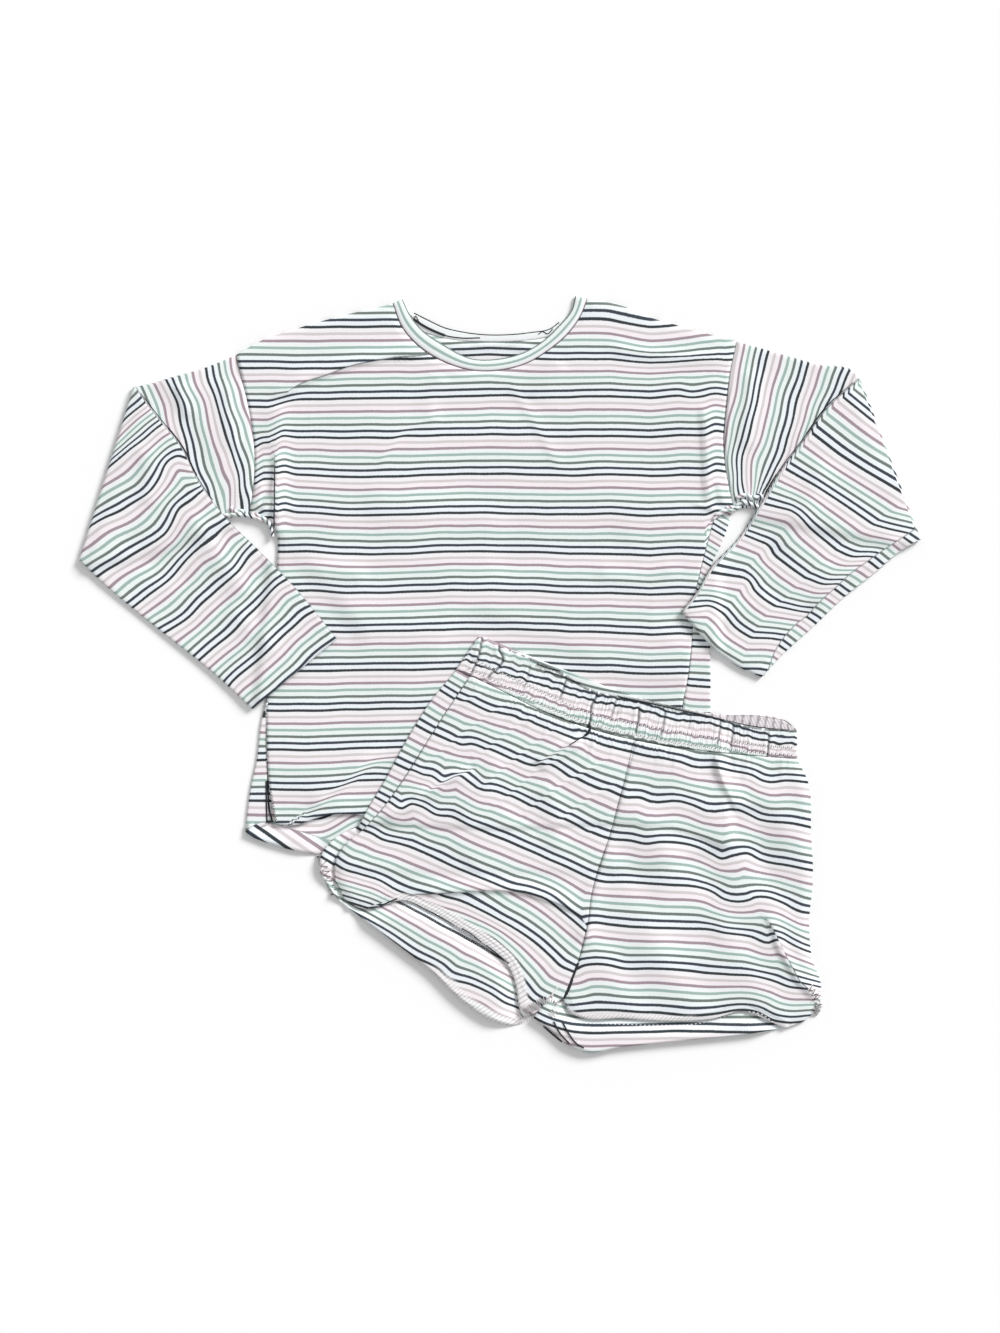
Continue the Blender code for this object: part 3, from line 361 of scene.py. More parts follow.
def against(points, line):
    # how far each point lies from a line, above 0 on its right-hand side, and how far along
    nearest = np.full(points.shape[:-1], np.inf)
    side = np.zeros(points.shape[:-1])
    share = np.zeros(points.shape[:-1])
    lengths = np.linalg.norm(np.diff(line, axis=0), axis=1)
    done = 0.0
    for start, end, length in zip(line[:-1], line[1:], lengths):
        run = end - start
        away = points - start
        part = np.clip(away @ run / max(run @ run, 1e-12), 0, 1)
        gap = np.linalg.norm(away - part[..., None] * run, axis=-1)
        closer = gap < nearest - 1e-9
        turn = run[1] * away[..., 0] - run[0] * away[..., 1]
        nearest = np.where(closer, gap, nearest)
        side = np.where(closer, np.sign(turn), side)
        share = np.where(closer, (done + part * length) / lengths.sum(), share)
        done += length
    return nearest * side, share


def distanceTo(points, line):
    return np.abs(against(points, line)[0])


def distanceOutside(points, outline):
    x, y = points[..., 0], points[..., 1]
    inside = np.zeros(x.shape, bool)
    for (x0, y0), (x1, y1) in zip(outline, np.roll(outline, -1, axis=0)):
        if y0 == y1:
            continue
        inside ^= ((y0 > y) != (y1 > y)) & (x < x0 + (y - y0) * (x1 - x0) / (y1 - y0))
    return np.where(inside, 0, distanceTo(points, np.vstack([outline, outline[:1]])))


def uneven(points, amount, size, seed):  # soft uneven ground, up to this amount up or down
    x, y = points[..., 0] / size, points[..., 1] / size
    total = np.zeros(x.shape)
    for turn in range(5):
        angle = seed * 1.7 + turn * 2.4
        pace = 1 + 0.37 * turn
        drift = 0.6 * np.sin(0.7 * pace * (y * math.cos(angle) - x * math.sin(angle)) + seed)
        total += np.sin(pace * (x * math.cos(angle) + y * math.sin(angle)) + seed * turn + drift)
    return amount * total / 5


lines = {name: curve(mm(*places)) for name, places in outlines.items()}


def outlineOf(first, back):  # once round a shape: names of lines one way, then names the other way
    return np.vstack([lines[name] for name in first.split()] + [lines[name][::-1] for name in back.split()])


shapes = dict(
    topFront=outlineOf(
        "shoulderLeft neckFront shoulderRight armholeRight outlineRight",
        "hemFront ventLeft sideLeft armholeLeft",
    ),
    topBack=outlineOf(
        "shoulderLeft shoulderRight armholeRight outlineRight",
        "hemBack outlineLowLeft sideLeft armholeLeft",
    ),
    upperLeft=outlineOf("sleeveLeftTop", "sleeveLeftUnder armholeLeft"),
    upperRight=outlineOf("sleeveRightTop", "sleeveRightUnder armholeRight"),
    forearmLeft=outlineOf("forearmLeftInner", "forearmLeftOuter"),
    forearmRight=outlineOf("forearmRightInner", "forearmRightOuter"),
    shorts=outlineOf("bandTopFront shortsRight", "hemRightBack hemLeftBack shortsLeftLeg shortsLeft"),
)


def relief(points, folds):  # the heights of all folds, which fade towards the ends of their lines
    total = np.zeros(points.shape[:-1])
    for height, left, right, spots in folds:
        gap, share = against(points, curve(spots, 4))
        fade = onset(share, 0, 0.18) * onset(share, 1, -0.18)
        total += height * hill(gap, 0, np.where(gap > 0, right, left)) * fade
    return total


def stripesFrom(points, guide, repeat=jersey["repeat"], past=0.12):
    # numbered lines cross the cloth, and the stripes run evenly between them
    gaps = []
    for number, spots in guide.items():
        line = curve(spots, 4)
        first, last = unit(line[:1] - line[1:2]) * past, unit(line[-1:] - line[-2:-1]) * past
        gaps.append((number, against(points, np.vstack([line[:1] + first, line, line[-1:] + last]))[0]))
    number, gap = gaps[0]
    phase = number + gap / repeat
    for (number, gap), (beyond, further) in zip(gaps, gaps[1:]):
        between = np.clip(gap / np.maximum(gap - further, 1e-6), 0, 1)
        phase = np.where(gap > 0, number + (beyond - number) * between, phase)
    number, gap = gaps[-1]
    return np.where(gap > 0, number + gap / repeat, phase)


def drape(points, supports):  # how high cloth lies on what is under it
    height = np.zeros(points.shape[:-1])
    for outline, top in supports:
        away = distanceOutside(points, outline)
        height = np.maximum(height, top * (1 - onset(away, jersey["ledge"], jersey["slope"])))
    return height


def uncovered(points, covers):
    share = np.ones(points.shape[:-1])
    for outline in covers:
        share = np.minimum(share, onset(distanceOutside(points, outline), jersey["pressed"], jersey["rise"]))
    return share


def sunk(points, edges, drop=jersey["edgeDrop"]):
    nearest = np.min([distanceTo(points, edge) for edge in edges], axis=0)
    return drop * (1 - eased(nearest / jersey["edgeWidth"]))


hemShape = dict(soft=0.003, groove=1.3, grooveAt=0.86, grooveWidth=0.0012)


def hemmed(points, edge, depth, height):  # a turned hem: a little thicker, with a stitched groove
    away = distanceTo(points, edge)
    groove = hemShape["groove"] * hill(away, depth * hemShape["grooveAt"], hemShape["grooveWidth"])
    return height * (1 - onset(away, depth, hemShape["soft"]) - groove)


def withHeight(points, height):
    return np.dstack([points, np.broadcast_to(height, points.shape[:-1])])


def grid(points, travelled, through, up=True, closed=False, side=-0.05, beyond=None, line=0.0, band=0.0):
    # rows of points, with how far each is along and through the stripes. Where side is above 0
    # the stripes follow beyond instead; line is painted shade along a sewn or pressed edge there, band a
    # turned hem
    chart = (travelled, through, side, through if beyond is None else beyond, line, band)
    return points, np.dstack([np.broadcast_to(layer, points.shape[:2]) for layer in chart]), up, closed


def placed(name, mesh, finish):  # an object of the mesh, which rides on the body
    mesh.polygons.foreach_set("use_smooth", np.ones(len(mesh.polygons), bool))
    mesh.materials.append(finish)
    piece = bpy.data.objects.new(name, mesh)
    bpy.context.scene.collection.objects.link(piece)
    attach(piece, "root")
    return piece


def sheetOf(name, grids, finish, wall=jersey["wall"], offset=-1.0):
    spots, faces, charts = [], [], []
    count = 0
    for points, layers, up, closed in grids:
        rows, columns = points.shape[:2]
        number = count + np.arange(rows * columns).reshape(rows, columns)
        near = np.roll(number, -1, axis=1)
        last = columns if closed else columns - 1
        cells = [number[:-1, :last], number[1:, :last], near[1:, :last], near[:-1, :last]]
        quads = np.stack(cells, axis=-1).reshape(-1, 4)
        faces.append(quads if up else quads[:, ::-1])
        spots.append(points.reshape(-1, 3))
        charts.append(layers.reshape(-1, 6))
        count += rows * columns
    spots, faces, charts = np.vstack(spots), np.vstack(faces), np.vstack(charts)
    corners = charts[faces].reshape(-1, 6)
    if len(grids) > 1:  # joins the grids where their points meet
        places = np.round(spots / 0.00002).astype(np.int64)
        _, first, same = np.unique(places, axis=0, return_index=True, return_inverse=True)
        spots, faces = spots[first], same.reshape(-1)[faces]
    mesh = bpy.data.meshes.new(name)
    mesh.from_pydata(spots.tolist(), [], faces.tolist())
    for number, layer in enumerate(("cloth", "crease", "mark")):
        chart = mesh.uv_layers.new(name=layer)
        chart.data.foreach_set("uv", corners[:, number * 2 : number * 2 + 2].reshape(-1).astype(np.float32))
    mesh.validate()
    piece = placed(name, mesh, finish)
    solid = piece.modifiers.new("wall", "SOLIDIFY")
    solid.thickness = wall
    solid.offset = offset
    return piece


def wrappedSide(edge, seam, base):  # carries a back round the roll at its side, then in to the seam
    out = unit(edge - seam)
    columns = [withHeight(edge[None], base)[0]]
    for turn in np.linspace(0.125, 1, 8) * math.pi:
        spot = edge + out * jersey["roll"] * math.sin(turn)
        columns.append(np.column_stack([spot, base + jersey["roll"] * (1 - math.cos(turn))]))
    for share in np.linspace(0.12, 1, 9):
        columns.append(np.column_stack([edge + (seam - edge) * share, base + jersey["flat"]]))
    return np.stack(columns, axis=1)


def ring(points, count=7):  # rows laid round a flattened tube, and how high up each point lies
    inner = points[:, 1:-1]
    turns = np.arange(1, count) / count * math.pi
    far = [inner[:, -1] + (points[:, -1] - inner[:, -1]) * math.sin(turn) for turn in turns]
    near = [inner[:, 0] + (points[:, 0] - inner[:, 0]) * math.sin(turn) for turn in turns]
    rising = [(1 - math.cos(turn)) / 2 for turn in turns]
    width = inner.shape[1]
    around = np.concatenate([inner, np.stack(far, 1), inner[:, ::-1], np.stack(near[::-1], 1)], axis=1)
    return around, np.concatenate([np.zeros(width), rising, np.ones(width), rising[::-1]])


class Wire:  # a socket that takes sums
    def __init__(self, socket):
        self.socket = socket

    def calc(self, operation, *values):
        node = self.socket.id_data.nodes.new("ShaderNodeMath")
        node.operation = operation
        for slot, value in zip(node.inputs, values):
            feed(slot, value)
        return Wire(node.outputs[0])

    def __add__(self, other):
        return self.calc("ADD", self, other)

    def __sub__(self, other):
        return self.calc("SUBTRACT", self, other)

    def __rsub__(self, other):
        return self.calc("SUBTRACT", other, self)

    def __mul__(self, other):
        return self.calc("MULTIPLY", self, other)

    __radd__ = __add__
    __rmul__ = __mul__


def feed(slot, value):
    if isinstance(value, Wire):
        slot.id_data.links.new(value.socket, slot)
    else:
        slot.default_value = value


class Finish:
    def __init__(self, name, roughness=0.9):
        self.material = bpy.data.materials.new(name)
        self.material.use_nodes = True
        self.tree = self.material.node_tree
        self.shader = self.tree.nodes["Principled BSDF"]
        self.shader.inputs["Roughness"].default_value = roughness
        self.shader.inputs["Specular IOR Level"].default_value = 0.25
        self.shader.inputs["Sheen Weight"].default_value = 0.08
        self.shader.inputs["Sheen Roughness"].default_value = 0.5

    def add(self, kind, settings, values, output=0):
        node = self.tree.nodes.new(kind)
        for name, value in settings.items():
            if name == "stops":
                self.setStops(node.color_ramp, value)
            elif name == "spread":
                node.color_ramp.interpolation = value
            else:
                setattr(node, name, value)
        for name, value in values.items():
            feed(node.inputs[name], value)
        return Wire(node.outputs[output])

    def setStops(self, ramp, colours):
        while len(ramp.elements) > 1:
            ramp.elements.remove(ramp.elements[0])
        for number, (place, colour) in enumerate(colours):
            stop = ramp.elements[0] if number == 0 else ramp.elements.new(place)
            stop.position = place
            stop.color = colour

    def chart(self, name):  # both values of a layer that the mesh carries
        first = self.add("ShaderNodeSeparateXYZ", {}, {0: self.add("ShaderNodeUVMap", dict(uv_map=name), {})})
        return first, Wire(first.socket.node.outputs[1])

    def noise(self, place, scale, detail):
        return self.add("ShaderNodeTexNoise", {}, {"Vector": place, "Scale": scale, "Detail": detail})

    def ramp(self, value, colours, spread="LINEAR"):
        return self.add("ShaderNodeValToRGB", dict(stops=colours, spread=spread), {"Fac": value})

    def rise(self, value, low, high):  # from 0 to 1, softly
        values = {"Value": value, "From Min": low, "From Max": high, "To Min": 0.0, "To Max": 1.0}
        return self.add("ShaderNodeMapRange", dict(interpolation_type="SMOOTHSTEP"), values)

    def blend(self, share, first, second, way="MIX"):
        settings = dict(data_type="RGBA", blend_type=way)
        return self.add("ShaderNodeMix", settings, {0: share, 6: first, 7: second}, 2)

    def colour(self, value):
        feed(self.shader.inputs["Base Color"], value)

    def bump(self, height, strength, distance):
        values = {"Strength": strength, "Distance": distance, "Height": height}
        feed(self.shader.inputs["Normal"], self.add("ShaderNodeBump", {}, values))


def fromScreen(*values):  # a colour as the eye reads it, 0 to 255, as light
    return (*(round((value / 255) ** 2.2, 4) for value in values), 1.0)


yarns = dict(  # in the order in which they follow each other
    charcoal=fromScreen(54, 60, 63),
    beige=fromScreen(208, 201, 202),
    mauve=fromScreen(159, 142, 150),
    mint=fromScreen(157, 180, 173),
    sage=fromScreen(111, 121, 116),
    navy=fromScreen(61, 68, 77),
)
grounds = dict(  # the tints between them, from below the charcoal yarn
    belowCharcoal=fromScreen(239, 237, 239),
    pink=fromScreen(242, 233, 237),
    pale=fromScreen(236, 240, 240),
    green=fromScreen(231, 240, 237),
    blue=fromScreen(234, 241, 242),
    aboveCharcoal=fromScreen(232, 238, 243),
)
stripe = dict(
    half=0.2,
    soft=0.05,
    fuzz=0.05,
    wale=0.0012,
    course=0.0009,
    knit=0.35,
    nap=0.3,
    bend=1.6,
    bump=0.32,
    bumpDistance=0.0005,
)
mark = dict(
    step=0.0003,
    # a dark line of painted shade along creases and seams: where it starts, how wide, how strong, its dent
    # and its colour
    lineStart=0.0002,
    lineWidth=0.0012,
    paintedLineShade=0.6,
    lineDepth=2.0,
    paintedShadeColour=(0.05, 0.055, 0.06, 1.0),
    stitch=0.0042,
    stitchHeight=1.5,
    stitchLean=40.0,
    hem=fromScreen(251, 248, 248),
    hemThread=fromScreen(206, 203, 205),
    hemShare=0.92,
    inside=fromScreen(224, 216, 220),
    # painted shade in the tucks of the band's gathered inside
    insideTuckShade=fromScreen(168, 158, 164),
    tuck=0.0088,
    tuckUneven=4.0,
    shade=[(0.3, (0.965, 0.965, 0.97, 1.0)), (0.7, (1, 1, 1, 1.0))],
)


def stripedJersey(name):
    finish = Finish(name)
    travelled, through = finish.chart("cloth")
    side, beyond = finish.chart("crease")
    line, band = finish.chart("mark")
    place = finish.add("ShaderNodeTexCoord", {}, {}, "Object")

    through = through + (beyond - through) * finish.rise(side, -mark["step"], mark["step"])
    fuzz = finish.noise(place, 900.0, 1.0)
    six = through * 6.0 + (fuzz - 0.5) * (stripe["fuzz"] * 2)
    number = six.calc("FLOOR", six + 0.5)
    away = six.calc("ABSOLUTE", six - number)
    yarnHere = 1 - finish.rise(away, stripe["half"] - stripe["soft"], stripe["half"] + stripe["soft"])
    which = number.calc("FRACT", (number + 0.5) * (1 / 6))
    colours = [(k / 6, yarn) for k, yarn in enumerate(yarns.values())]
    yarn = finish.ramp(which, colours, "CONSTANT")
    colours = [((k + 0.5) / 6, ground) for k, ground in enumerate(grounds.values())]
    ground = finish.ramp(through.calc("FRACT", through), colours)
    colour = finish.blend(yarnHere, ground, yarn)

    # a turned hem is pale with rows of slanted stitches, and from 1 to 2 the band's gathered inside, with
    # painted shade in its tucks
    hem = band.calc("MINIMUM", band, 1.0)
    stitches = travelled * (math.tau / mark["stitch"]) + through * mark["stitchLean"]
    loops = stitches.calc("SINE", stitches) * 0.5 + 0.5
    speck = finish.noise(place, 420.0, 2.0)
    rough = finish.rise(loops * 0.55 + speck * 0.6, 0.25, 0.6)
    sewn = finish.blend(rough, mark["hemThread"], mark["hem"])
    tucks = travelled * (math.tau / mark["tuck"]) + speck * mark["tuckUneven"]
    plain = finish.rise(tucks.calc("SINE", tucks), -1.0, 0.1)
    inside = finish.blend(plain, mark["insideTuckShade"], mark["inside"])
    sewn = finish.blend(finish.rise(band, 1.2, 1.8), sewn, inside)
    colour = finish.blend(hem * mark["hemShare"], colour, sewn)

    # painted shade: a dark line along sewn and pressed edges
    edge = 1 - finish.rise(side.calc("ABSOLUTE", side), mark["lineStart"], mark["lineWidth"])
    pressed = edge * line
    colour = finish.blend(pressed * mark["paintedLineShade"], colour, mark["paintedShadeColour"])
    tone = finish.ramp(finish.noise(place, 14.0, 2.0), mark["shade"])
    finish.colour(finish.blend(1.0, colour, tone, "MULTIPLY"))

    wale = travelled * (math.tau / stripe["wale"])
    bend = wale.calc("ABSOLUTE", wale.calc("SINE", wale * 0.5))
    course = through * (math.tau * jersey["repeat"] / stripe["course"]) + bend * stripe["bend"]
    knit = wale.calc("COSINE", wale) * 0.5 + course.calc("COSINE", course) * 0.5
    height = knit * stripe["knit"] + finish.noise(place, 420.0, 3.0) * stripe["nap"]
    height = height + loops * hem * mark["stitchHeight"] - pressed * mark["lineDepth"]
    finish.bump(height, stripe["bump"], stripe["bumpDistance"])
    return finish.material


striped = stripedJersey("stripedJersey")
print("finishes made")

# the top's front and back
top = dict(
    puff=0.0013,
    swell=(0.0009, 0.045, 2),  # this and the like: amount, size and seed of what is uneven
    hem=(0.017, 0.0005),  # depth and height
    ventHem=(0.006, 0.0003),
    seamDrop=0.0004,
    ventOpens=0.009,
    # one dark line across the top, and the repeat of the stripes beside it
    line=mm(-255, 301.5, -187, 301.4, -143, 302, -99, 302.6, -55, 304.3, -11, 305.4, 33, 304.2, 77, 303.5,
        121, 304.8, 165, 303.5, 198, 305.9, 220, 305.5, 242, 305).T,
    repeatX=(-0.25, -0.055, -0.011, 0.033, 0.121, 0.165, 0.22),
    repeatY=(0.04263, 0.04263, 0.0428, 0.04268, 0.04323, 0.04345, 0.0438),
    sideY=(-0.17, -0.13, -0.04, 0.09, 0.14, 0.19, 0.25, 0.3),  # how the left side wanders
    sideDrop=(0.0026, 0.0028, 0.0014, -0.0022, -0.0034, -0.0034, -0.001, 0.0),
    wander=(0.0008, 0.045, 3),
    ripple=(0.0006, 0.016, 7),
    sag=0.0085,  # how far the stripes hang below the right shoulder
    sagAt=(0.182, 0.055),
    tuckDrop=0.0088,
    tuckWide=((0.235, 0.305), (0.010, 0.032)),  # how wide its stripes slope at each height
    tuckHump=0.0030,
    hemPlaces=(0, 0.29, 0.70, 1),  # shares of a hem below the shoulder, the neck and the other shoulder
    leftRows=(0, 1, 1.12, 2, 3),
)
tuckLine = mm(
    -72.6, 351.5, -86.9, 349.3, -113.3, 347.1, -139.7, 342.7, -165, 337.2, -191.4, 327.3, -217.8, 318.5,
    -231, 310.8, -240.9, 298.7, -245.3, 278.9, -247.5, 251.4, -247.5, 212.9, -248, 170, -248.6, 139.2,
)
tuckEnd = mm(-226.6, 309.5, -242, 304.5, -258, 299)
chestCrease = mm(3.5, 326, 14.3, 313, 23.1, 299, 33, 283, 45.1, 262, 56, 242, 66, 218)
leftRipple = mm(-62, 288, -85, 276, -108.9, 262.4, -121, 247, -137.5, 223.9)
ventCrease = mm(-213.4, -152.4, -191.4, -135.9, -170.5, -120.5, -143, -97.4, -110, -86.4)
rightCrease = mm(226.6, 171.1, 223.3, 322.9)
rightShoulder = mm(258.5, 349.3, 220, 347.1, 176, 350.4, 137.5, 355.9, 110, 360.3)
topFolds = (
    fold(2.6, 1.6, 12, line=np.vstack([tuckLine[:7], tuckEnd])),  # the tuck under the left shoulder
    fold(1.4, 12, 14, -245.3, 298, -246.5, 272, -247.5, 244),
    fold(4.4, 11, 2, line=tuckLine[10:]),  # a pinch beside the left armhole
    fold(0.8, 10, 5, line=chestCrease),
    fold(0.7, 6, 10, line=leftRipple),
    fold(2.2, 12, 4, line=ventCrease),
    fold(1.6, 9, 6, line=rightShoulder),
    fold(2.6, 2.5, 12, 227.5, 176, 226, 210, 224, 260, 222, 300),
    fold(-1, 24, 20, -90, 285, -10, 295, 60, 300),
    fold(1.3, 22, 26, -160, 190, -70, 178, 20, 160),
    fold(-1.1, 24, 18, -20, 120, 60, 132, 150, 150),
    fold(1.2, 30, 24, -200, 60, -120, 50, -40, 30),
    fold(1.5, 10, 12, -235, 100, -190, 115, -140, 105),
    fold(1.3, 12, 10, 200, 120, 150, 105, 100, 112),
    fold(1.2, 10, 12, 70, 345, 55, 325, 30, 300),
    fold(1.1, 10, 12, -60, 330, -75, 300, -70, 270),
    # bunched by the underarms
    fold(2, 3, 4, -262, 176, -256, 190, -247, 206),
    fold(1.8, 3, 3, -268, 180, -265, 196, -262, 212),
    fold(1.8, 3, 4, -250, 172, -238, 178, -222, 186),
    fold(1.8, 3, 3, 248, 182, 243, 196, 240, 215),
    fold(1.6, 3, 4, 240, 176, 228, 183, 212, 186),
)
backFolds = (
    fold(2.2, 1.2, 6, -62, 352, -45, 360.5, -10, 365.2, 20, 364, 42, 352),
)
# where the back's stripes follow its turned corner, and how far the left side hangs lower
cornerEdge = mm(-285, -176.5, -261.8, -163.5, -248.6, -165.6, -228.8, -171.1, -181.5, -185.4)
cornerStripes = dict(start=(-0.2520, -0.1788), heading=(0.568, 0.823), repeat=0.06, number=11)
backDrops = dict(y=(-0.17, -0.15, -0.05), drop=(0.0206, 0.0180, 0.0135), all=0.0022)
# shifts of the stripes: amount, then from where on x and y and over what length each sets in
frontShifts = (
    (-0.0016, (0.238, 0.012), (0.19, 0.03)),  # beside the right armhole
    (0.0034, (0, -0.05), (0.335, 0.07)),  # left and right of the neck
    (0.0035, (0, 0.06), (0.383, 0.02)),
)
# beside the right side seam, where its stripes run steep
sideStripes = dict(
    drop=0.0158, x=(0.17, 0.04), y=(0.10, -0.03), start=(0.2376, 0.1562), lean=0.6, repeat=0.0415, number=3
)


def slip(points, spots, amount, before, after, ends=(1, 1)):
    # the stripes on the right-hand side of a crease lie shifted against those on its left
    gap, share = against(points, curve(spots, 4))
    fade = 1 - (1 - onset(share, 0, 0.2)) * (1 - ends[0]) - (1 - onset(share, 1, -0.3)) * (1 - ends[1])
    return amount * onset(gap, -before, before + after) * fade


def jog(points, spots, amount, soft, reach):  # the stripes step at a crease and settle again beside it
    gap, share = against(points, curve(spots, 4))
    fade = onset(share, 0, 0.15) * onset(share, 1, -0.15)
    return amount * fade * np.tanh(gap / soft) * np.exp(-np.abs(gap) / reach)


def sideOf(points, spots, here=True):  # how far right of a line the points lie, and how far along it
    gap, share = against(points, curve(spots, 4))
    return np.where(here, np.clip(gap, -jersey["reach"], jersey["reach"]), -jersey["reach"]), share


def straightPhase(points):
    x, y = points[..., 0], points[..., 1]
    line = np.interp(x, *top["line"])
    drop = uneven(points, *top["wander"]) + uneven(points, *top["ripple"])
    return line - y - drop, np.interp(x, top["repeatX"], top["repeatY"])


def frontPhases(points):
    # how far through the stripes, the same beyond the tuck, the side of the tuck, and the painted shade along
    # its line
    x, y = points[..., 0], points[..., 1]
    below, repeat = straightPhase(points)
    below = below - np.interp(y, top["sideY"], top["sideDrop"]) * onset(x, -0.165, -0.05)
    past = np.where(x > ventCrease[-1][0], hill(np.linalg.norm(points - ventCrease[-1], axis=-1), 0, 0.03), 1)
    below = below + slip(points, ventCrease, 0.0070, 0.004, 0.008, (1, 0.5)) * past
    below = below + slip(points, rightCrease, 0.0052, 0.002, 0.013, (1, 0.2)) * (y < 0.33)
    below = below - slip(points, rightShoulder, 0.0016, 0.002, 0.002, (0, 0)) * (x > 0.09)
    below = below + jog(points, chestCrease, 0.0017, 0.006, 0.022)
    below = below - jog(points, leftRipple, 0.0014, 0.004, 0.02)
    below = below + sum(amount * onset(x, *onX) * onset(y, *onY) for amount, onX, onY in frontShifts)
    below = below - top["sag"] * hill(x, *top["sagAt"]) * onset(y, 0.308, 0.06) * (x > 0.05)
    below = below - 0.0030 * hill(x, 0.2112, 0.012) * hill(y, 0.311, 0.012)
    below = below - 0.0015 * hill(y, 0.356, 0.022) * onset(x, 0, 0.06)

    side, _ = sideOf(points, tuckLine, (x < -0.055) & (y > 0.139))
    low = onset(y, 0.150, 0.02) * onset(y, 0.275, -0.03)
    below = below + top["tuckHump"] * hill(x, -0.2365, 0.008) * low * (side < 0)
    below = below + (0.0065 * onset(x, -0.272, 0.014) - 0.0028) * low * onset(x, -0.2455, -0.003)
    soft = onset(y, 0.317, -0.012) * onset(y, 0.220, 0.030) * onset(x, -0.2, -0.01)
    ramp = eased(side / np.interp(y, *top["tuckWide"]) + 0.5)
    shown = below - top["tuckDrop"] * ramp * soft
    further = below - top["tuckDrop"] * (1 - (1 - ramp) * soft)
    # painted shade along the tuck where it lies crisp, deeper low in the pinch
    deep = onset(y, 0.238, -0.02) * (x < -0.2)
    pressed = (1 - soft) * onset(x, -0.06, -0.02) * (1 + 0.7 * deep)
    return shown / repeat, further / repeat, side, pressed


def backPhases(points):
    x, y = points[..., 0], points[..., 1]
    below, repeat = straightPhase(points)
    drop = np.interp(y, backDrops["y"], backDrops["drop"]) * onset(x, -0.15, -0.05) * onset(y, -0.028, -0.03)
    drop = drop + sideStripes["drop"] * onset(x, *sideStripes["x"]) * onset(y, *sideStripes["y"])
    drop = drop + 0.0170 * onset(x, -0.245, 0.01) * onset(y, -0.14, -0.01) * (x < -0.1)
    below = below + backDrops["all"] - drop
    startX, startY = sideStripes["start"]
    steep = (startY - y - sideStripes["lean"] * (x - startX)) / sideStripes["repeat"] + sideStripes["number"]
    upper = onset(y, 0.07, 0.02) * (x > 0.1)
    corner = (points - cornerStripes["start"]) @ np.array(cornerStripes["heading"]) / cornerStripes["repeat"]
    side, _ = sideOf(points, cornerEdge, (x < -0.16) & (y < -0.13))
    # the last value is the strength of the painted shade along the turned corner's edge
    return below / repeat * (1 - upper) + steep * upper, corner + cornerStripes["number"], side, 0.4


def lifted(points, puff, swell, folds, covers=()):
    height = puff + relief(points, folds) + uneven(points, *swell)
    return uncovered(points, covers) * np.maximum(height, 0)


def topPanel(columns, rows, neck, hem, left, right):  # left and right: what follows below the armholes
    upper = joined(columns, lines["shoulderLeft"], neck, lines["shoulderRight"])
    lower = along(hem, np.interp(columns, range(4), top["hemPlaces"]))
    left = joined(np.interp(rows, range(5), top["leftRows"]), lines["armholeLeft"], *left)
    right = joined(np.interp(rows, (0, 1, 2, 4), range(4)), lines["armholeRight"], *right)
    return patch(upper, lower, left, right)


def makeTopFront():
    neck = moved(lines["neckFront"], y=-jersey["seam"])
    side = moved(lines["sideRight"], x=-jersey["seam"])
    opens = np.linspace(0, 1, len(lines["ventLeft"]))[:, None] ** 4
    left = (lines["sideLeft"], lines["ventLeft"] + np.array((top["ventOpens"], 0)) * opens)
    right = (lines["underarmRight"], side)
    points = topPanel(stops(44, 74, 42), stops(88, 9, 88, 58), neck, lines["hemFront"], left, right)
    covers = [shapes[name] for name in ("forearmLeft", "forearmRight", "shorts")]
    height = jersey["flat"] + lifted(points, top["puff"], top["swell"], topFolds, covers)
    height = height - sunk(points, (lines["shoulderLeft"], lines["shoulderRight"], lines["sideLeft"], neck))
    height = height - sunk(points, (side, lines["ventLeft"], lines["armholeRight"]), top["seamDrop"])
    height = height + hemmed(points, lines["hemFront"], *top["hem"])
    height = height + hemmed(points, lines["ventLeft"], *top["ventHem"])
    through, beyond, tuckSide, pressed = frontPhases(points)
    sheet = grid(withHeight(points, height), points[..., 0], through, True, False, tuckSide, beyond, pressed)
    return sheetOf("topFront", [sheet], striped)


def makeTopBack():
    rows = stops(42, 6, 46, 42)
    edgeLeft = moved(lines["outlineLowLeft"], x=jersey["roll"])
    edgeRight = moved(lines["outlineRight"], x=-jersey["roll"])
    neck = moved(lines["neckBack"], y=-jersey["seam"])
    hem = np.vstack([edgeLeft[-1:], lines["hemBack"][1:-1], edgeRight[-1:]])
    left = (np.vstack([lines["sideLeft"][:-1], edgeLeft[:1]]), edgeLeft)
    right = (np.vstack([lines["armholeRight"][-1:], edgeRight[:1]]), edgeRight)
    main = topPanel(stops(30, 60, 30), rows, neck, hem, left, right)
    corner, _ = against(main, lines["hemFront"])
    wrinkle = relief(main, backFolds) + 0.0036 * eased(corner / 0.02) * onset(main[..., 0], -0.195, -0.03)
    through, beyond, side, pressed = backPhases(main)
    grids = [grid(withHeight(main, wrinkle), main[..., 0], through, False, False, side, beyond, pressed)]
    lowRows, sideRows = rows > 3, rows >= 2
    seamLeft = moved(along(lines["ventLeft"], rows[lowRows] - 3), x=-jersey["seam"])
    seamRight = along(lines["sideRight"], (rows[sideRows] - 2) / 2)
    for edge, seam, up in ((main[lowRows, 0], seamLeft, True), (main[sideRows, -1], seamRight, False)):
        flap = wrappedSide(edge, seam, np.zeros(len(edge)))
        through, beyond, side, pressed = backPhases(flap[..., :2])
        grids.append(grid(flap, flap[..., 0], through, up, False, side, beyond, pressed))
    return sheetOf("topBack", grids, striped)


